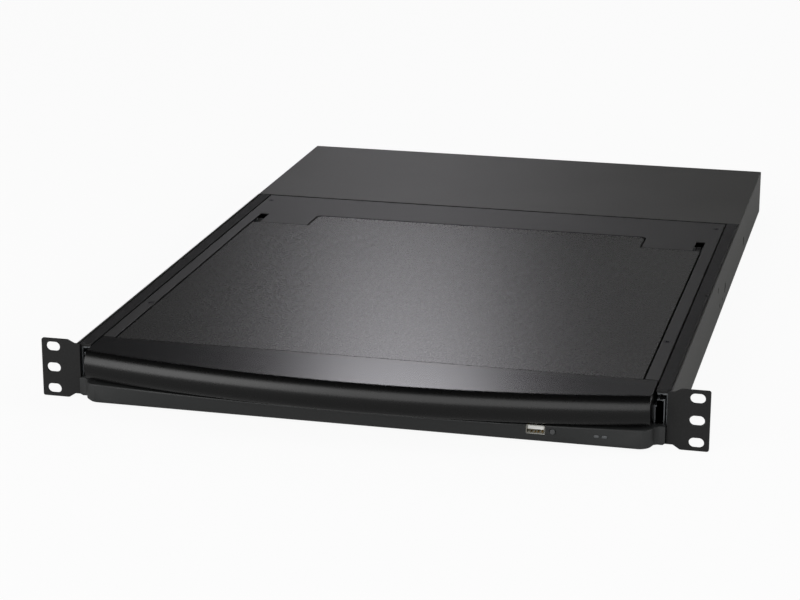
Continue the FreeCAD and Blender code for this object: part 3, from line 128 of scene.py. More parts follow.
# %% Camera
EYE_MM = (389.2, -1491.2, 540.1)
YAW = math.radians(13.74)
PITCH = math.radians(17.04)
ROLL = math.radians(0.13)
LENS_MM = 104.7
SENSOR_MM = 36.0
NEAR, FAR = 0.01, 50.0

camera = placed("camera", bpy.data.cameras.new("camera"))
camera.data.lens = LENS_MM
camera.data.sensor_width = SENSOR_MM
camera.data.clip_start = NEAR
camera.data.clip_end = FAR
aim = Matrix.Rotation(YAW, 4, "Z") @ Matrix.Rotation(math.pi / 2 - PITCH, 4, "X")
camera.matrix_world = Matrix.Translation(Vector(EYE_MM) * MM) @ aim @ Matrix.Rotation(ROLL, 4, "Z")
scene.camera = camera
print("camera", round(Vector(EYE_MM).length), "mm from the middle of the ears")

# %% [markdown]
# ## The floor
#
# The drawer lies on a sheet of pale paper that runs past the upper edge of the picture, so it is the whole
# background. More light would make the paper white, but it would wash out the black drawer too. So most of
# the white that the camera sees is emission, picked by Light Path, and the rest is lit, which keeps the
# drawer's soft shadow. Gloss and glass mirror a duller paper with a small share of that emission, because
# paper beside a black box is no brighter than the lamps make it.

# %% Floor
FLOOR_SIZE = 40.0
PAPER_SEEN = "#f4f4f4"
PAPER_MIRRORED = "#b8b8b8"
SEEN_GLOW = 0.93
MIRRORED_GLOW = 0.08

half = FLOOR_SIZE / 2
corners = [(x * half, y * half, cad_low.z) for x, y in ((-1, -1), (1, -1), (1, 1), (-1, 1))]
floor_mesh = bpy.data.meshes.new("floor")
floor_mesh.from_pydata(corners, [], [(0, 1, 2, 3)])
floor = placed("floor", floor_mesh)

floor_paper = bpy.data.materials.new("matt_pale_paper")
floor_paper.use_nodes = True
tree = floor_paper.node_tree
tree.nodes.clear()
path = add(tree, "ShaderNodeLightPath")
mirrored = add(tree, "ShaderNodeMath", {"operation": "ADD"}, {
    0: path.outputs["Is Glossy Ray"], 1: path.outputs["Is Transmission Ray"]})
mirrored = add(tree, "ShaderNodeMath", {"operation": "MULTIPLY", 1: MIRRORED_GLOW}, {0: mirrored.outputs[0]})
share = add(tree, "ShaderNodeMath", {"operation": "MULTIPLY_ADD", 1: SEEN_GLOW}, {
    0: path.outputs["Is Camera Ray"], 2: mirrored.outputs[0]})
bright = add(tree, "ShaderNodeBsdfDiffuse", {"Color": linear(PAPER_SEEN)})
dim = add(tree, "ShaderNodeBsdfDiffuse", {"Color": linear(PAPER_MIRRORED)})
paper = add(tree, "ShaderNodeMixShader", links={
    0: path.outputs["Is Camera Ray"], 1: dim.outputs[0], 2: bright.outputs[0]})
glow = add(tree, "ShaderNodeEmission", {"Color": linear("#ffffff"), "Strength": 1.0})
mixed = add(tree, "ShaderNodeMixShader", links={0: share.outputs[0], 1: paper.outputs[0], 2: glow.outputs[0]})
add(tree, "ShaderNodeOutputMaterial", links={"Surface": mixed.outputs[0]})
floor_mesh.materials.append(floor_paper)
print("floor", FLOOR_SIZE, "m wide at", round(cad_low.z / MM, 1), "mm")

# %% [markdown]
# ## The room
#
# A black object shows its shape by what it mirrors. The room could be one grey, but a grey light enough to
# fill the shadows would lie as a veil over all gloss. So matt surfaces are lit by a middling grey, glossy
# ones mirror a dark one, on which the lamps stand out, and the camera sees white, like the paper.

# %% Room
ROOM_MIRRORED = "#303030"
ROOM_LIGHT = "#8a8a8a"

world = bpy.data.worlds.new("studio")
scene.world = world
world.use_nodes = True
tree = world.node_tree
tree.nodes.clear()
path = add(tree, "ShaderNodeLightPath")
mirrored = add(tree, "ShaderNodeMath", {"operation": "ADD"}, {
    0: path.outputs["Is Glossy Ray"], 1: path.outputs["Is Transmission Ray"]})
soft, dark, white = [add(tree, "ShaderNodeBackground", {"Color": linear(code), "Strength": 1.0})
                     for code in (ROOM_LIGHT, ROOM_MIRRORED, "#ffffff")]
room = add(tree, "ShaderNodeMixShader", links={
    0: mirrored.outputs[0], 1: soft.outputs[0], 2: dark.outputs[0]})
room = add(tree, "ShaderNodeMixShader", links={
    0: path.outputs["Is Camera Ray"], 1: room.outputs[0], 2: white.outputs[0]})
add(tree, "ShaderNodeOutputWorld", links={"Surface": room.outputs[0]})
print("room", ROOM_LIGHT, "for light,", ROOM_MIRRORED, "in mirrors")

# %% [markdown]
# ## The lamps
#
# Soft boxes are wide lamps, whose edges blur in satin paint. One could light the drawer, but the picture
# shows several highlights, so each box here draws one of them. The wide box in front draws the grey band of
# the grip, and the left one lifts the ear and the bezel. The small one far behind is the streak across the
# lid, a trace violet. The edge box catches thin edges, the wall wash lifts the lid's dark right half, and
# the side box lights the right wall.

# %% Lamps
DRAWER_MIDDLE = (0.0, 0.3, 0.0)
# Place and size in metres, power in watts, colour
SOFT_BOXES = {
    "front_soft_box": ((-0.6, -2.3, 1.08), (4.6, 2.05), 52, "#ffffff"),
    "left_soft_box": ((-1.7, -2.0, 1.0), (1.6, 1.8), 11, "#ffffff"),
    "back_soft_box": ((-1.0, 4.2, 2.05), (0.45, 1.0), 7.8, "#fbf9ff"),
    "edge_soft_box": ((1.7, 3.8, 1.7), (0.5, 0.9), 7, "#ffffff"),
    "wall_wash": ((0.6, 4.4, 1.4), (2.2, 1.3), 1.2, "#ffffff"),
    "side_soft_box": ((3.0, 0.6, 1.4), (1.4, 1.4), 36, "#ffffff"),
}
for name, (place, size, watts, colour) in SOFT_BOXES.items():
    lamp = bpy.data.lights.new(name, "AREA")
    lamp.shape = "RECTANGLE"
    lamp.size, lamp.size_y = size
    lamp.energy = watts
    lamp.color = linear(colour)[:3]
    box = placed(name, lamp)
    box.location = place
    box.rotation_mode = "QUATERNION"
    box.rotation_quaternion = (Vector(DRAWER_MIDDLE) - Vector(place)).to_track_quat("-Z", "Y")
print("lamps", len(SOFT_BOXES))

# %% [markdown]
# ## Finishes
#
# Each finish starts from what the real surface is and how it was made. An image could give its grain, but a
# random pattern in the object's own millimetres never stretches or repeats. It stands for paint peel, mould
# texture or rolling marks, and the roughness drifts with it, because no real surface shines evenly.
#
# The peel of powder paint is about a millimetre wide and is drawn so. Mould texture and rolling marks are
# some hundredths of a millimetre wide, too fine for this picture. They are drawn coarser, 0.3 to 1.4 mm
# wide, and the slow waves in the grip's gloss 3 mm wide.


# %% A blank material and a fine random surface
MIDDLE_OF_NOISE = {"From Min": 0.3, "From Max": 0.7}


def blank(name):
    """A material with an empty node tree."""
    material = bpy.data.materials.new(name)
    material.use_nodes = True
    material.node_tree.nodes.clear()
    return material, material.node_tree


def fine_surface(tree, size, height, rough, stretch=(1.0, 1.0, 1.0)):
    """Relief with grains size across and height high, in millimetres, and a roughness that varies with it."""
    place = add(tree, "ShaderNodeTexCoord")
    turned = add(tree, "ShaderNodeMapping", {"Scale": stretch}, {"Vector": place.outputs["Object"]})
    noise = add(tree, "ShaderNodeTexNoise", {"Scale": 1 / (size * MM), "Detail": 2.0}, {
        "Vector": turned.outputs[0]})
    relief = add(tree, "ShaderNodeBump", {"Distance": height * MM}, {"Height": noise.outputs[0]})
    spread = add(tree, "ShaderNodeMapRange", MIDDLE_OF_NOISE | {"To Min": rough[0], "To Max": rough[1]}, {
        "Value": noise.outputs[0]})
    return {"Roughness": spread.outputs[0], "Normal": relief.outputs[0]}


# %% [markdown]
# ### Powder-coated steel
#
# The box, the frame, the ears and the lid are folded steel with baked powder paint. A plain dark colour
# would look like card, so the tone drifts between two near blacks over some centimetres and the fine peel
# breaks the highlights. The lid's powder is the smoothest and mirrors the lamp behind as a broad streak.
# The ears' is matt.

# %% Powder coat
# The tone drifts over some centimetres, as it does where a gun passes over a sheet
TONE_DRIFT = 60.0


def powder_coat(name, dark, light, rough, peel, height):
    """Baked powder paint: two near tones, a roughness range, and the peel's width and height in mm."""
    material, tree = blank(name)
    place = add(tree, "ShaderNodeTexCoord")
    drift = add(tree, "ShaderNodeTexNoise", {"Scale": 1 / (TONE_DRIFT * MM), "Detail": 2.0}, {
        "Vector": place.outputs["Object"]})
    share = add(tree, "ShaderNodeMapRange", MIDDLE_OF_NOISE, {"Value": drift.outputs[0]})
    tone = add(tree, "ShaderNodeMix", {"data_type": "RGBA", 6: linear(dark), 7: linear(light)}, {
        0: share.outputs[0]})
    surface = fine_surface(tree, peel, height, rough)
    shader = add(tree, "ShaderNodeBsdfPrincipled", {"IOR": 1.5}, {"Base Color": tone.outputs[2], **surface})
    add(tree, "ShaderNodeOutputMaterial", links={"Surface": shader.outputs[0]})
    return material


# The box: a little lighter and much rougher than the lid, so that it reads as dull sheet
BOX_PAINT = powder_coat("powder_coated_steel", "#333330", "#393936", (0.43, 0.47), 1.3, 0.025)
# The lid: the smoothest coat, which draws the lamp behind out into a broad streak
LID_PAINT = powder_coat("satin_powder_coated_steel", "#292928", "#2d2d2c", (0.265, 0.285), 1.1, 0.003)
# The ears' own matt black, also used as painted shade on the faces in the seams and on the hinge arms:
# rough enough to stay black under the lamps
EAR_BLACK_AND_PAINTED_SHADE = powder_coat("matt_powder_coat_and_painted_shade", "#0e0e0e", "#121212", (0.6, 0.7), 1.1, 0.025)
# The frame: darker than the box, with a finer peel, so that the lid stands out from it
FRAME_PAINT = powder_coat("fine_powder_coated_steel", "#242423", "#292928", (0.43, 0.47), 1.2, 0.015)
print("powder coats: box, lid, ears and frame")

# %% [markdown]
# ### Plated metal
#
# Slides and cable arm are rolled steel with bright zinc, screws have black zinc, sockets nickel and gold. A
# perfect mirror would look like chrome, so the relief is stretched along the rolling direction and the
# gloss drifts with it: the eye reads a drawn, slightly milky metal.


# %% Plated metals
# Coarser than real rolling marks, which are too fine to show here
MARK_WIDTH = 0.8
MARK_HEIGHT = 0.006


def plated_metal(name, tone, rough, stretch):
    """A plated metal with fine marks stretched along one axis."""
    material, tree = blank(name)
    surface = fine_surface(tree, MARK_WIDTH, MARK_HEIGHT, rough, stretch)
    shader = add(tree, "ShaderNodeBsdfPrincipled", {"Base Color": linear(tone), "Metallic": 1.0}, surface)
    add(tree, "ShaderNodeOutputMaterial", links={"Surface": shader.outputs[0]})
    return material


# Rolled along the slides: a milky metal whose gloss runs lengthwise
ZINC = plated_metal("bright_zinc_plated_steel", "#85888a", (0.36, 0.5), (1.0, 0.04, 1.0))
# A dark metal that still glints at the rim of each head
BLACK_ZINC = plated_metal("black_zinc_screw_steel", "#3a3a3c", (0.35, 0.5), (1.0, 1.0, 1.0))
# The brightest metal here: a clear glint round each socket's mouth
NICKEL = plated_metal("nickel_plated_shell", "#c9c8c2", (0.18, 0.3), (1.0, 0.3, 1.0))
# Warm lines in the dark port
GOLD_CONTACT = plated_metal("gold_plated_contact", "#d8b25a", (0.2, 0.3), (1.0, 0.3, 1.0))
# The back of the panel: pale grey and softly streaked across
TIN_PLATE = plated_metal("tin_plated_sheet", "#a9abac", (0.3, 0.45), (0.1, 1.0, 1.0))
print("plated metals: zinc, black zinc, nickel, gold and tin")

# %% [markdown]
# ### Moulded plastics
#
# The lower bezel, the deck and the screen frame are ABS from a spark-eroded mould, whose even texture
# scatters light. The grip comes from a polished mould, so it carries one soft bright band. Both could be
# one plastic with two roughness maps, but two named finishes are easier to read. Key caps are a little
# shinier, where fingers polish them, and sockets, rubber and boards differ in tone and texture alone.


# %% Plastics, rubber, board and light pipe
def moulded(name, tone, rough, texture, height, ior=1.49):
    """Moulded plastic: a tone, a roughness range, and the mould texture's size and height in millimetres."""
    material, tree = blank(name)
    surface = fine_surface(tree, texture, height, rough)
    shader = add(tree, "ShaderNodeBsdfPrincipled", {"Base Color": linear(tone), "IOR": ior}, surface)
    add(tree, "ShaderNodeOutputMaterial", links={"Surface": shader.outputs[0]})
    return material


# Eroded mould: an even dull black without a highlight of its own
BEZEL_ABS = moulded("textured_black_abs", "#323333", (0.42, 0.52), 0.7, 0.02)
# Satin mould: one soft sheen along the top of the handle
SHELL_ABS = moulded("satin_black_abs", "#121213", (0.235, 0.245), 1.4, 0.001)
# Polished mould: near black, so that only the band of the front lamp shows
GRIP_ABS = moulded("polished_black_abs", "#040404", (0.27, 0.29), 3.0, 0.001)
# Worn by fingers: a weak gleam on every cap
KEY_ABS = moulded("key_cap_abs", "#262627", (0.38, 0.46), 0.5, 0.01)
# A fine dull grey, lighter than the bezel round it
BUTTON_ABS = moulded("matt_button_abs", "#4c4d4e", (0.4, 0.46), 0.7, 0.005)
# Socket plastic: dull black, and darker than the panel
SOCKET_PBT = moulded("socket_pbt", "#141414", (0.45, 0.55), 0.5, 0.01)
# Rubber scatters all light: no gleam
RUBBER = moulded("black_rubber", "#161616", (0.7, 0.8), 0.8, 0.02)
# Lacquer over copper: a green gloss between the parts of a board
SOLDER_MASK = moulded("green_solder_mask", "#1d4a2c", (0.3, 0.4), 0.9, 0.01)
# Frosted rod, unlit: the even grey of its frosting
LIGHT_PIPE = moulded("frosted_light_pipe", "#5c5e60", (0.3, 0.4), 0.8, 0.005)
# The blue by which a video socket is known
VIDEO_BLUE = moulded("blue_socket_pbt", "#243f7a", (0.4, 0.5), 0.5, 0.008)
# Undyed nylon: the pale tongue that the eye finds first in a socket
PORT_WHITE = moulded("white_nylon_tongue", "#f2f2ee", (0.35, 0.45), 0.5, 0.005)
# Anti-glare glass over a dark panel: near black, with a slightly blurred mirror image
SCREEN_GLASS = moulded("anti_glare_glass", "#0b0c0e", (0.1, 0.14), 0.3, 0.0006, 1.52)
print("plastics, rubber, board and glass:", len(bpy.data.materials), "materials so far")

# %% [markdown]
# ### Which finish each part has
#
# The record names a finish slot for each part, so most parts need no line of their own. A line for each
# part would also work, but it would say the same thing sixty times. A few have a smoother, rougher or
# lighter version of their slot's finish, and those are listed by name. The hinge arms carry painted shade:
# they are matt black here because the slots that they stand in look black in the picture.

# %% Finish of every part
FINISH_OF_SLOT = {
    "painted_steel": BOX_PAINT, "zinc_steel": ZINC, "black_plastic": BEZEL_ABS, "gloss_black": GRIP_ABS,
    "key_plastic": KEY_ABS, "screen_glass": SCREEN_GLASS, "module_metal": TIN_PLATE,
    "circuit_board": SOLDER_MASK, "soft_rubber": RUBBER, "connector_shell": NICKEL,
    "light_pipe": LIGHT_PIPE, "black_screw": BLACK_ZINC,
}
FINISH_OF_PART = {
    "lid_cover": LID_PAINT, "drawer_top_frame": FRAME_PAINT, "handle_shell": SHELL_ABS,
    # hinge_arms: the ears' matt black as painted shade where the slots look black
    "ear_bracket_right": EAR_BLACK_AND_PAINTED_SHADE, "ear_bracket_left": EAR_BLACK_AND_PAINTED_SHADE, "hinge_arms": EAR_BLACK_AND_PAINTED_SHADE,
    "power_inlet": SOCKET_PBT, "power_switch_frame": SOCKET_PBT, "power_rocker": SOCKET_PBT,
    "reset_button": BUTTON_ABS,
}
for name, part in frame["nodes"].items():
    part.data.materials.clear()
    part.data.materials.append(FINISH_OF_PART.get(name, FINISH_OF_SLOT[slot_of[name]]))
print("finishes on", len(frame["nodes"]), "parts,", len(FINISH_OF_PART), "of them by name")

# %% [markdown]
# ## Rounded edges
#
# Folded sheet and moulded plastic never end in a perfectly sharp edge, and the thin bright line along an
# edge is what makes a dark object readable. A shader can fake that line, but it then misses from the
# exported mesh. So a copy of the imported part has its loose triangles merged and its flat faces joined, a
# Bevel modifier rounds what is left, and weighted normals keep the large faces flat.

# %% How a copy is softened
MERGE_WITHIN = 0.002
FLAT_WITHIN = math.radians(0.3)


def evaluated(piece):
    """Applies a piece's modifiers and keeps the result as its mesh."""
    depsgraph = bpy.context.evaluated_depsgraph_get()
    result = bpy.data.meshes.new_from_object(piece.evaluated_get(depsgraph))
    piece.modifiers.clear()
    piece.data = result
    return piece


def merged_copy(node, name):
    """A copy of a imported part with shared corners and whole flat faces."""
    mesh = frame["nodes"][node].data.copy()
    build = bmesh.new()
    build.from_mesh(mesh)
    bmesh.ops.remove_doubles(build, verts=build.verts, dist=MERGE_WITHIN * MM)
    bmesh.ops.dissolve_limit(build, angle_limit=FLAT_WITHIN, verts=build.verts, edges=build.edges)
    for face in build.faces:
        face.smooth = True
    build.to_mesh(mesh)
    build.free()
    return placed(name, mesh)


def stands_for(piece, node):
    """The piece rides where the part rides and hides it."""
    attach(piece, frame["nodes"][node]["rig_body"])
    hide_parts(node)


def rounded_by(piece, width, angle=30):
    """Rounds the edges that turn by more than an angle in degrees, width millimetres wide."""
    bevel = piece.modifiers.new("edges", "BEVEL")
    bevel.width = width * MM
    bevel.segments = 2
    bevel.limit_method = "ANGLE"
    bevel.angle_limit = math.radians(angle)
    bevel.use_clamp_overlap = False
    piece.modifiers.new("normals", "WEIGHTED_NORMAL").keep_sharp = True
    return evaluated(piece)


print("corners merge within", MERGE_WITHIN, "mm")

# %% Softened copies of parts
SLIDE_EDGE = 0.12
THIN_EDGE = 0.15
FINE_EDGE = 0.2
SHEET_EDGE = 0.25
KEY_EDGE = 0.3
SMALL_EDGE = 0.35
BUTTON_EDGE = 0.4
BROAD_EDGE = 0.5
EDGES = {
    "chassis_pan": SHEET_EDGE, "rear_panel": THIN_EDGE,
    "ear_bracket_right": SHEET_EDGE, "ear_bracket_left": SHEET_EDGE,
    "drawer_tray": THIN_EDGE, "lid_cover": BROAD_EDGE, "handle_shell": BROAD_EDGE,
    "keyboard_deck": BUTTON_EDGE, "lid_bezel": KEY_EDGE, "touchpad": FINE_EDGE,
    "power_inlet": KEY_EDGE, "power_switch_frame": KEY_EDGE, "power_rocker": BUTTON_EDGE,
    "reset_button": SMALL_EDGE, "osd_buttons": BUTTON_EDGE, "screen_power_button": BUTTON_EDGE,
    "lid_bumpers": BROAD_EDGE, "touchpad_button_left": BUTTON_EDGE, "touchpad_button_right": BUTTON_EDGE,
    "slide_outer_right": SLIDE_EDGE, "slide_outer_left": SLIDE_EDGE,
    "slide_middle_right": SLIDE_EDGE, "slide_middle_left": SLIDE_EDGE,
    "slide_inner_right": SLIDE_EDGE, "slide_inner_left": SLIDE_EDGE,
    "hinge_arms": FINE_EDGE, "hinge_brackets": THIN_EDGE,
    "cable_arm_rear": THIN_EDGE, "cable_arm_front": THIN_EDGE, "arm_bracket": THIN_EDGE,
    "number_keys": KEY_EDGE, "upper_keys": KEY_EDGE, "home_keys": KEY_EDGE, "shift_keys": KEY_EDGE,
    "function_keys": KEY_EDGE, "bottom_keys": KEY_EDGE, "space_bar": KEY_EDGE, "keypad_keys": KEY_EDGE,
    "rear_ports": FINE_EDGE,
}
for node, width in EDGES.items():
    stands_for(rounded_by(merged_copy(node, node + "_soft_edged"), width), node)
print("softened", len(EDGES), "parts")

# %% [markdown]
# ### Seams that read as dark lines
#
# Seen at a low angle, a seam is only as wide as the edge face behind it, and the picture draws a dark line
# there. Why it is dark on the real drawer can't be seen. Here the faces in the seam carry painted shade: the
# matt black of the ears, simply because it draws that line. An image could darken them, but the faces are
# known, so a second finish of painted shade on them is enough.
#
# The picture's seams are also wider than the imported part's. The frame's rear edge stands 0.9 mm further
# forward here, the cover's front lip 0.8 mm further back, and the frame's edge behind the lid's tail 0.9 mm
# further back.

# %% The frame and the cover with painted shade on the seam faces
FRAME_STEP = 0.9
COVER_STEP = 0.8
COVER_LIP = 1.05
COVER_LIP_ROUND = 1.8
TAIL_STEP = 0.9
TAIL_EDGE = (379.0, 384.6)
TAIL_HALF = 160.0
REAR_WITHIN = 0.05
SLANTED = 0.5


def seam_edged(node, width, in_seam, step):
    """A softened part whose points are stepped back and whose seam faces get painted shade."""
    piece = merged_copy(node, node + "_soft_edged")
    for point in piece.data.vertices:
        point.co.y += step(point.co / MM) * MM
    # Painted shade: the faces in the seams take the ears' matt black
    piece.data.materials.append(EAR_BLACK_AND_PAINTED_SHADE)
    rounded_by(piece, width)
    faces = [face for face in piece.data.polygons if in_seam(face.center / MM, face.normal)]
    for face in faces:
        face.material_index = 1
    stands_for(piece, node)
    print(node, len(faces), "seam faces")


frame_rear = max(point.co.y for point in frame["nodes"]["drawer_top_frame"].data.vertices) / MM
cover_front = min(point.co.y for point in frame["nodes"]["rear_cover"].data.vertices) / MM


def frame_step(spot):
    """How far a point of the frame moves: its rear edge forward, the edge behind the tail back."""
    if spot.y > frame_rear - REAR_WITHIN:
        return -FRAME_STEP
    return TAIL_STEP if TAIL_EDGE[0] < spot.y < TAIL_EDGE[1] and abs(spot.x) < TAIL_HALF else 0.0


def cover_step(spot):
    """How far a point of the cover moves: its front lip back."""
    return COVER_STEP if spot.y < cover_front + COVER_LIP else 0.0


def on_cover_lip(spot, way):
    """Whether a face of the cover is on its front lip and looks forward."""
    return spot.y < cover_front + COVER_LIP_ROUND and way.y < -SLANTED


seam_edged("drawer_top_frame", SMALL_EDGE, lambda spot, way: abs(way.z) < SLANTED, frame_step)
seam_edged("rear_cover", SHEET_EDGE, on_cover_lip, cover_step)

# %% [markdown]
# ### The rolled lip of the lower bezel
#
# The bezel's top edge is rolled wider than its other edges, and catches a thin light line. A second mesh
# could make the roll. A bevel weight on the long level edges near the top does it with two numbers.

# %% The lower bezel's rolled top lip
LIP_TOP = -4.8
LIP_DEPTH = 1.6
LIP_SHORTEST = 1.5
LIP_WIDTH = 0.8
LIP_REARMOST = -1.0
BEZEL_TURN = 50
LEVEL_WITHIN = 0.01

bezel = merged_copy("front_bezel", "front_bezel_rolled")
weights = bezel.data.attributes.new("bevel_weight_edge", "FLOAT", "EDGE")
points = bezel.data.vertices
rolled = 0
for edge in bezel.data.edges:
    a, b = (points[i].co / MM for i in edge.vertices)
    level = abs(a.z - b.z) < LEVEL_WITHIN and min(a.z, b.z) > LIP_TOP - LIP_DEPTH
    in_front = abs(a.x - b.x) > LIP_SHORTEST and max(a.y, b.y) < LIP_REARMOST
    weights.data[edge.index].value = 1.0 if level and in_front else 0.0
    rolled += level and in_front
lip = bezel.modifiers.new("lip", "BEVEL")
lip.width = LIP_WIDTH * MM
lip.segments = 3
lip.limit_method = "WEIGHT"
lip.use_clamp_overlap = True
evaluated(bezel)
rounded_by(bezel, KEY_EDGE, BEZEL_TURN)
stands_for(bezel, "front_bezel")
print("bezel", rolled, "rolled edges")

# %% [markdown]
# ## Geometry trees
#
# A Geometry Nodes tree is a rule with named inputs. A plain loop of mesh code could make each piece too,
# but a tree states the rule once, and every piece that follows it gives its own sizes. The evaluated result
# is kept as a plain mesh, so that nothing is left to work out later.


# %% An empty tree and the plain mesh that it leaves
def size_tree(name, sizes):
    """A geometry tree with a mesh in, a mesh out, one named number for each size, and a finish."""
    tree = bpy.data.node_groups.new(name, "GeometryNodeTree")
    tree.interface.new_socket("Mesh", in_out="INPUT", socket_type="NodeSocketGeometry")
    for size in sizes:
        tree.interface.new_socket(size, in_out="INPUT", socket_type="NodeSocketFloat")
    tree.interface.new_socket("Finish", in_out="INPUT", socket_type="NodeSocketMaterial")
    tree.interface.new_socket("Mesh", in_out="OUTPUT", socket_type="NodeSocketGeometry")
    return tree, add(tree, "NodeGroupInput").outputs


def leave_tree(tree, mesh, finish):
    """Ends a tree in real geometry with its finish."""
    real = add(tree, "GeometryNodeRealizeInstances", links={"Geometry": mesh})
    dressed = add(tree, "GeometryNodeSetMaterial", links={"Geometry": real.outputs[0], "Material": finish})
    add(tree, "NodeGroupOutput", links={"Mesh": dressed.outputs[0]})


def made_by(tree, name, points, links, sizes, facing=None):
    """Runs a tree on a mesh of points in millimetres and keeps what it makes as a plain mesh."""
    mesh = bpy.data.meshes.new(name)
    mesh.from_pydata([[value * MM for value in point] for point in points], links, [])
    if facing:
        ways = mesh.attributes.new("facing", "FLOAT_VECTOR", "POINT")
        ways.data.foreach_set("vector", sum(facing, ()))
    piece = placed(name, mesh)
    rule = piece.modifiers.new("rule", "NODES")
    rule.node_group = tree
    for item in tree.interface.items_tree:
        if item.in_out == "INPUT" and item.name in sizes:
            rule[item.identifier] = sizes[item.name]
    return evaluated(piece)


def cut_from(piece, tool):
    """Takes a tool's volume out of a piece and removes the tool."""
    cut = piece.modifiers.new("cut", "BOOLEAN")
    cut.operation = "DIFFERENCE"
    cut.solver = "EXACT"
    cut.object = tool
    evaluated(piece)
    bpy.data.objects.remove(tool)


# %% [markdown]
# ## The grip bar
#
# The glossy bar along the front of the lid is a hollow moulding of one cross-section, drawn along a shallow
# arc. It could be lofted ring by ring, but a sweep is the plain way. The outline is a closed loop, Curve to
# Mesh draws it along a straight line, and Set Position pushes each point back by the circle's own rule, so
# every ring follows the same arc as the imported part. The hollow is the same rule with a second outline, cut
# out.

# %% The sweep tree
tree, sizes_in = size_tree("arc_sweep", ["Half Width", "Arc Centre", "Rings"])
left = add(tree, "ShaderNodeMath", {"operation": "MULTIPLY", 1: -1.0}, {0: sizes_in["Half Width"]})
start = add(tree, "ShaderNodeCombineXYZ", links={"X": left.outputs[0]})
stop = add(tree, "ShaderNodeCombineXYZ", links={"X": sizes_in["Half Width"]})
rail = add(tree, "GeometryNodeCurvePrimitiveLine", links={"Start": start.outputs[0], "End": stop.outputs[0]})
rail = add(tree, "GeometryNodeResampleCurve", links={"Curve": rail.outputs[0], "Count": sizes_in["Rings"]})
outline = add(tree, "GeometryNodeMeshToCurve", links={"Mesh": sizes_in["Mesh"]})
swept = add(tree, "GeometryNodeCurveToMesh", {"Fill Caps": True}, {
    "Curve": rail.outputs[0], "Profile Curve": outline.outputs[0]})
print("straight sweep", len(tree.nodes), "nodes")

# %% The sweep tree's arc
place = add(tree, "ShaderNodeSeparateXYZ", links={0: add(tree, "GeometryNodeInputPosition").outputs[0]})
reach = add(tree, "ShaderNodeMath", {"operation": "SUBTRACT"}, {
    0: sizes_in["Arc Centre"], 1: place.outputs["Y"]})
reach_2 = add(tree, "ShaderNodeMath", {"operation": "MULTIPLY"}, {0: reach.outputs[0], 1: reach.outputs[0]})
across_2 = add(tree, "ShaderNodeMath", {"operation": "MULTIPLY"}, {
    0: place.outputs["X"], 1: place.outputs["X"]})
along_2 = add(tree, "ShaderNodeMath", {"operation": "SUBTRACT"}, {
    0: reach_2.outputs[0], 1: across_2.outputs[0]})
along = add(tree, "ShaderNodeMath", {"operation": "SQRT"}, {0: along_2.outputs[0]})
depth = add(tree, "ShaderNodeMath", {"operation": "SUBTRACT"}, {
    0: sizes_in["Arc Centre"], 1: along.outputs[0]})
bent = add(tree, "ShaderNodeCombineXYZ", links={
    "X": place.outputs["X"], "Y": depth.outputs[0], "Z": place.outputs["Z"]})
curved = add(tree, "GeometryNodeSetPosition", links={
    "Geometry": swept.outputs[0], "Position": bent.outputs[0]})
leave_tree(tree, curved.outputs[0], sizes_in["Finish"])
ARC_SWEEP = tree
print("sweep tree", len(tree.nodes), "nodes")


# %% Arcs of a cross-section
def arc_through(first, middle, last, count):
    """Points on the circle through three points of a cross-section, the last one left out."""
    (ax, az), (bx, bz), (cx, cz) = first, middle, last
    twice_area = 2 * (ax * (bz - cz) + bx * (cz - az) + cx * (az - bz))
    a2, b2, c2 = ax * ax + az * az, bx * bx + bz * bz, cx * cx + cz * cz
    ox = (a2 * (bz - cz) + b2 * (cz - az) + c2 * (az - bz)) / twice_area
    oz = (a2 * (cx - bx) + b2 * (ax - cx) + c2 * (bx - ax)) / twice_area
    radius = math.hypot(ax - ox, az - oz)
    from_angle, to_angle = (math.atan2(z - oz, x - ox) for x, z in (first, last))
    side = 1 if (bx - ax) * (cz - az) - (bz - az) * (cx - ax) > 0 else -1
    span = (side * (to_angle - from_angle)) % (2 * math.pi)
    steps = [from_angle + side * span * i / count for i in range(count)]
    return [(ox + radius * math.cos(t), oz + radius * math.sin(t)) for t in steps]


def swept_bar(name, outline, half_width):
    """Draws a cross-section of (depth, height) points along the lid's front arc."""
    ring = [(-depth, -height, 0.0) for depth, height in outline]
    loop = [(i, (i + 1) % len(ring)) for i in range(len(ring))]
    return made_by(ARC_SWEEP, name, ring, loop, {
        "Half Width": half_width * MM, "Arc Centre": ARC_CENTRE * MM, "Rings": RINGS, "Finish": GRIP_ABS})


# %% The two outlines and the bar
HALF_BAR = 202.6
BAR_END_WALL = 2.5
SAGITTA = 23.0
BAR_FRONT = -36.0
BAR_TOP = 19.3
RINGS = 97
NOSE_STEPS, FOOT_STEPS, HOLLOW_STEPS = 22, 4, 12
ARC_CENTRE = BAR_FRONT + (HALF_BAR ** 2 + SAGITTA ** 2) / (2 * SAGITTA)
# Points of the cross-section, as (depth, height) in millimetres
NOSE, FOOT, FOOT_BEND, FOOT_END = (-42.0, 8.6), (-37.8, -1.3), (-36.2, -2.08), (-34.6, -2.2)
BACK, SHELF = -24.0, 16.8
INNER_FOOT, INNER_NOSE, INNER_TOP = (-36.0, 0.8), (-39.0, 8.6), (-36.0, 13.8)
HOLLOW_BACK, HOLLOW_UNDER = -23.0, -3.2
FOOT_UNDER, FOOT_INSIDE = (-35.6, HOLLOW_UNDER), (-33.4, -1.0)

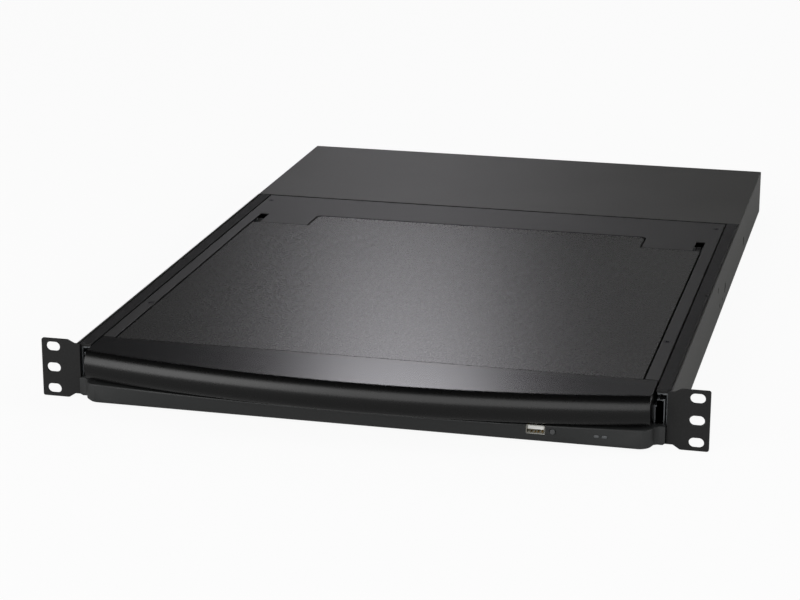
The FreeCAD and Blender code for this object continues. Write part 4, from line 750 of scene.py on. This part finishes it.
outside = arc_through((BAR_FRONT, BAR_TOP), NOSE, FOOT, NOSE_STEPS)
outside += arc_through(FOOT, FOOT_BEND, FOOT_END, FOOT_STEPS)
outside += [FOOT_END, (BACK, FOOT_END[1]), (BACK, SHELF), (BAR_FRONT, SHELF)]
inside = arc_through(INNER_FOOT, INNER_NOSE, INNER_TOP, HOLLOW_STEPS)
inside += [INNER_TOP, (HOLLOW_BACK, INNER_TOP[1]), (HOLLOW_BACK, HOLLOW_UNDER), FOOT_UNDER, FOOT_INSIDE]
grip_bar = swept_bar("grip_bar", outside, HALF_BAR)
cut_from(grip_bar, swept_bar("grip_hollow", inside, HALF_BAR - BAR_END_WALL))
for face in grip_bar.data.polygons:
    face.use_smooth = True
rounded_by(grip_bar, SMALL_EDGE)
stands_for(grip_bar, "handle_bar")
print("grip bar", len(grip_bar.data.vertices), "points")

# %% [markdown]
# ## Screws
#
# Every screw here is a turned head with a cross pressed into it. Each could be modelled and copied by hand.
# One tree makes them all: a cone gives the head, two crossed blocks are cut from it, and the result is set
# on each point of a small mesh, turned to face the way that point faces. A seeded random spin turns each
# cross differently, because no fitter lines them up.

# %% The screw tree
ARM_SHARE = 1.15
HEAD_SIDES = 32
SPIN_SEED = 7

tree, sizes_in = size_tree("cross_recess_screw", ["Face Radius", "Foot Radius", "Height", "Slot", "Recess"])
head = add(tree, "GeometryNodeMeshCone", {"Vertices": HEAD_SIDES}, {
    "Radius Top": sizes_in["Face Radius"], "Radius Bottom": sizes_in["Foot Radius"],
    "Depth": sizes_in["Height"]})
arm = add(tree, "ShaderNodeMath", {"operation": "MULTIPLY", 1: ARM_SHARE}, {0: sizes_in["Face Radius"]})
lift = add(tree, "ShaderNodeCombineXYZ", links={"Z": sizes_in["Height"]})
screw = add(tree, "GeometryNodeMeshBoolean", {"operation": "DIFFERENCE", "solver": "EXACT"}, {
    "Mesh 1": head.outputs[0]})
for x, y in ((arm.outputs[0], sizes_in["Slot"]), (sizes_in["Slot"], arm.outputs[0])):
    size = add(tree, "ShaderNodeCombineXYZ", links={"X": x, "Y": y, "Z": sizes_in["Recess"]})
    block = add(tree, "GeometryNodeMeshCube", links={"Size": size.outputs[0]})
    raised = add(tree, "GeometryNodeTransform", links={
        "Geometry": block.outputs[0], "Translation": lift.outputs[0]})
    tree.links.new(raised.outputs[0], screw.inputs["Mesh 2"])
print("head and recess", len(tree.nodes), "nodes")

# %% The screw tree's points
facing = add(tree, "GeometryNodeInputNamedAttribute", {"data_type": "FLOAT_VECTOR", "Name": "facing"})
faced = add(tree, "FunctionNodeAlignRotationToVector", {"axis": "Z"}, {"Vector": facing.outputs[0]})
spin = add(tree, "FunctionNodeRandomValue", {"data_type": "FLOAT", "Seed": SPIN_SEED, 3: math.pi})
spun = add(tree, "ShaderNodeCombineXYZ", links={"Z": spin.outputs[1]})
spun = add(tree, "FunctionNodeEulerToRotation", links={"Euler": spun.outputs[0]})
turned = add(tree, "FunctionNodeRotateRotation", {"rotation_space": "LOCAL"}, {
    "Rotation": faced.outputs[0], "Rotate By": spun.outputs[0]})
set_out = add(tree, "GeometryNodeInstanceOnPoints", links={
    "Points": sizes_in["Mesh"], "Instance": screw.outputs[0], "Rotation": turned.outputs[0]})
leave_tree(tree, set_out.outputs[0], sizes_in["Finish"])
SCREW = tree
print("screw tree", len(tree.nodes), "nodes")


# %% The screws of the box and of the drawer
SLOT_SHARE = 0.3
RECESS_SHARE = 0.9
SCREW_TURN = 35


def screws(name, node, spots, face_radius, foot_radius, height):
    """Screws whose feet stand at (place, facing) spots, in millimetres, as one piece for a part."""
    piece = made_by(SCREW, name, [place for place, _ in spots], [], {
        "Face Radius": face_radius * MM, "Foot Radius": foot_radius * MM, "Height": height * MM,
        "Slot": face_radius * SLOT_SHARE * MM, "Recess": height * RECESS_SHARE * MM, "Finish": BLACK_ZINC
    }, [way for _, way in spots])
    rounded_by(piece, SLIDE_EDGE, SCREW_TURN)
    stands_for(piece, node)
    print(name, len(spots), "screws")


WALL_FACE = 214.5
WALL_SUNK = 2.0
REAR_FACE = 638.0
REAR_SCREW_X = 205.0
REAR_SCREW_HEIGHT = 12.0
TOP_FACE = 19.3
FRAME_SUNK = 1.3
FRAME_SCREW_X = 197.1
# Face radius, foot radius and height
WALL_SCREW = (4.0, 2.0, WALL_SUNK)
PAN_SCREW = (2.2, 2.8, 1.8)
FRAME_SCREW = (2.8, 1.5, FRAME_SUNK)

wall_spots = [((side * (WALL_FACE - WALL_SUNK), y, z), (side, 0.0, 0.0))
              for side in (1.0, -1.0) for y, z in ((338, -6), (487, -7))]
rear_spots = [((x, REAR_FACE, REAR_SCREW_HEIGHT), (0.0, 1.0, 0.0)) for x in (REAR_SCREW_X, -REAR_SCREW_X)]
frame_spots = [((x, y, TOP_FACE - FRAME_SUNK), (0.0, 0.0, 1.0))
               for x in (FRAME_SCREW_X, -FRAME_SCREW_X) for y in (107, 425)]
screws("wall_screws", "chassis_screws", wall_spots, *WALL_SCREW)
screws("rear_pan_screws", "chassis_screws", rear_spots, *PAN_SCREW)
screws("frame_screws", "drawer_screws", frame_spots, *FRAME_SCREW)

# %% [markdown]
# ## The port and the lights of the lower bezel
#
# A socket shell is drawn sheet with a flared mouth, and a light pipe is a clear rod with a rounded front. A
# cube with a bevel would miss the flare. Both have one outline that shrinks or grows along their depth, so
# one function lofts rings of that outline from front to back. The white tongue and its gold contacts are
# what the eye finds first in the dark mouth.

# %% Rings of one outline along the depth
QUARTERS = ((1, 1), (-1, 1), (-1, -1), (1, -1))
CORNER_STEPS = 4
LEAST_RADIUS = 0.08


def ring_loft(name, centre, size, corner, stations, material):
    """A closed form of rounded rectangles, one for each station: (depth, inset) in millimetres."""
    x0, y0, z0 = centre
    build = bmesh.new()
    rings = []
    for depth, inset in stations:
        half_width, half_height = size[0] / 2 - inset, size[1] / 2 - inset
        radius = max(corner - inset, LEAST_RADIUS)
        points = []
        for quarter, (sx, sz) in enumerate(QUARTERS):
            for step in range(CORNER_STEPS + 1):
                turn_by = math.radians(90 * (quarter + step / CORNER_STEPS))
                x = sx * (half_width - radius) + radius * math.cos(turn_by)
                z = sz * (half_height - radius) + radius * math.sin(turn_by)
                points.append(build.verts.new(((x0 + x) * MM, (y0 + depth) * MM, (z0 + z) * MM)))
        rings.append(points)
    for a, b in zip(rings, rings[1:]):
        for i in range(len(a)):
            j = (i + 1) % len(a)
            build.faces.new((a[i], a[j], b[j], b[i]))
    build.faces.new(rings[0])
    build.faces.new(list(reversed(rings[-1])))
    bmesh.ops.recalc_face_normals(build, faces=build.faces)
    mesh = bpy.data.meshes.new(name)
    build.to_mesh(mesh)
    build.free()
    mesh.materials.append(material)
    for face in mesh.polygons:
        face.use_smooth = len(face.vertices) == 4
    return placed(name, mesh)


def joined(pieces, name):
    """Several meshes as one piece."""
    build = bmesh.new()
    for piece in pieces:
        build.from_mesh(piece.data)
    build.to_mesh(pieces[0].data)
    build.free()
    for piece in pieces[1:]:
        bpy.data.objects.remove(piece)
    pieces[0].name = name
    return pieces[0]


# %% The port
PORT = (125.2, -22.2, -8.5)
TONGUE_RISE = 1.05
CONTACT_DROP = 0.22
CONTACTS_AT = (-3.5, -1.0, 1.0, 3.5)
# Width and height
SHELL_SIZE, TONGUE_SIZE, CONTACT_SIZE = (13.4, 6.5), (11.2, 2.5), (1.0, 0.2)

port_x, port_y, port_z = PORT
# From the back of the shell to its flared mouth, and back in along its inner wall
port_shell = ring_loft("port_shell", PORT, SHELL_SIZE, 0.9, [
    (15.0, 0.35), (0.9, 0.35), (0.25, 0.0), (0.0, 0.05), (0.05, 0.3), (0.9, 0.72), (12.0, 0.72)], NICKEL)
stands_for(port_shell, "usb_port_front")
tongue = ring_loft("port_tongue", (port_x, port_y, port_z + TONGUE_RISE), TONGUE_SIZE, 0.15, [
    (12.1, 0.0), (1.0, 0.0), (0.8, 0.2)], PORT_WHITE)
stands_for(tongue, "usb_port_front")
contacts = [ring_loft("contact", (port_x + x, port_y, port_z - CONTACT_DROP), CONTACT_SIZE, 0.05, [
    (11.0, 0.0), (3.2, 0.0), (3.0, 0.08)], GOLD_CONTACT) for x in CONTACTS_AT]
stands_for(joined(contacts, "port_contacts"), "usb_port_front")
print("port with", len(contacts), "contacts")

# %% The two status lights
LIGHT_FRONT = -19.4
LIGHT_HEIGHT = -11.0
LIGHTS_AT = (166.6, 172.2)
LIGHT_SIZE = (3.8, 2.0)

lights = [ring_loft("light", (x, LIGHT_FRONT, LIGHT_HEIGHT), LIGHT_SIZE, 1.0, [
    (6.0, 0.0), (0.35, 0.0), (0.1, 0.15), (0.0, 0.45)], LIGHT_PIPE) for x in LIGHTS_AT]
stands_for(joined(lights, "status_lights"), "status_light")
print("status lights", len(lights))

# %% [markdown]
# ## Sockets on the rear panel
#
# A video socket is a plastic block with fifteen holes in three rows, the middle row shifted by half a step,
# inside a nickel shell. Black dots would pass from afar, but the holes are real here. They repeat, so one
# tree sets a rod on each point of a small mesh, and the rods are cut out of the block. The square socket
# has a pale tongue, and the mains inlet has three plated blades.

# %% A tree of rods
HOLE_SIDES = 14

tree, sizes_in = size_tree("rods", ["Radius", "Length"])
rod = add(tree, "GeometryNodeMeshCylinder", {"Vertices": HOLE_SIDES}, {
    "Radius": sizes_in["Radius"], "Depth": sizes_in["Length"]})
facing = add(tree, "GeometryNodeInputNamedAttribute", {"data_type": "FLOAT_VECTOR", "Name": "facing"})
faced = add(tree, "FunctionNodeAlignRotationToVector", {"axis": "Z"}, {"Vector": facing.outputs[0]})
set_out = add(tree, "GeometryNodeInstanceOnPoints", links={
    "Points": sizes_in["Mesh"], "Instance": rod.outputs[0], "Rotation": faced.outputs[0]})
leave_tree(tree, set_out.outputs[0], sizes_in["Finish"])
RODS = tree
print("rod tree", len(tree.nodes), "nodes")

# %% The video socket's block
VIDEO_X = -60.0
VIDEO_BACK = 637.2
VIDEO_FACE = 641.6
HALF_WIDE, HALF_TALL, SLANT = 7.5, 3.4, 1.3

outline = [(-HALF_WIDE, HALF_TALL), (HALF_WIDE, HALF_TALL), (HALF_WIDE - SLANT, -HALF_TALL),
           (SLANT - HALF_WIDE, -HALF_TALL)]
corners = [((VIDEO_X + x) * MM, y * MM, z * MM) for y in (VIDEO_BACK, VIDEO_FACE) for x, z in outline]
walls = [(i, (i + 1) % 4, (i + 1) % 4 + 4, i + 4) for i in range(4)]
mesh = bpy.data.meshes.new("video_block")
mesh.from_pydata(corners, [], [(3, 2, 1, 0), (4, 5, 6, 7)] + walls)
mesh.materials.append(VIDEO_BLUE)
video_block = placed("video_block", mesh)
print("video block", round(VIDEO_FACE - VIDEO_BACK, 1), "mm deep")

# %% The holes of the video socket
PIN_STEP = 2.29
PIN_ROW = 1.98
PIN_RADIUS = 0.55
PIN_DEPTH = 3.0

spots = [(VIDEO_X + PIN_STEP * (column - 2) + (PIN_STEP / 4 if row else -PIN_STEP / 4),
          VIDEO_FACE, PIN_ROW * row) for row in (-1, 0, 1) for column in range(5)]
cut_from(video_block, made_by(RODS, "pin_holes", spots, [], {
    "Radius": PIN_RADIUS * MM, "Length": 2 * PIN_DEPTH * MM, "Finish": VIDEO_BLUE
}, [(0.0, 1.0, 0.0)] * len(spots)))
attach(video_block, "chassis")
print("video socket with", len(spots), "holes")

# %% The square socket's tongue and the inlet's blades
HOST_X = -105.0
INLET_X = 150.0
BLADE_FRONT = 636.7
BLADES_AT = ((-7.0, -1.5), (0.0, 2.5), (7.0, -1.5))
HOST_SIZE, BLADE_SIZE = (5.9, 3.5), (2.2, 4.2)

host_tongue = ring_loft("host_tongue", (HOST_X, REAR_FACE, 0.0), HOST_SIZE, 0.3, [
    (-7.0, 0.0), (-0.3, 0.0), (0.1, 0.35)], PORT_WHITE)
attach(host_tongue, "chassis")
blades = joined([ring_loft("blade", (INLET_X + x, BLADE_FRONT, z), BLADE_SIZE, 0.3, [
    (-12.0, 0.0), (-0.6, 0.0), (0.0, 0.5)], NICKEL) for x, z in BLADES_AT], "inlet_blades")
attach(blades, "chassis")
print("inlet with", len(BLADES_AT), "blades")

# %% [markdown]
# ## Looks as written
#
# The Standard view transform shows a colour as it is written in a material, which suits a product picture.
# A filmic one would lift the blacks.

# %% View transform
scene.view_settings.view_transform = "Standard"
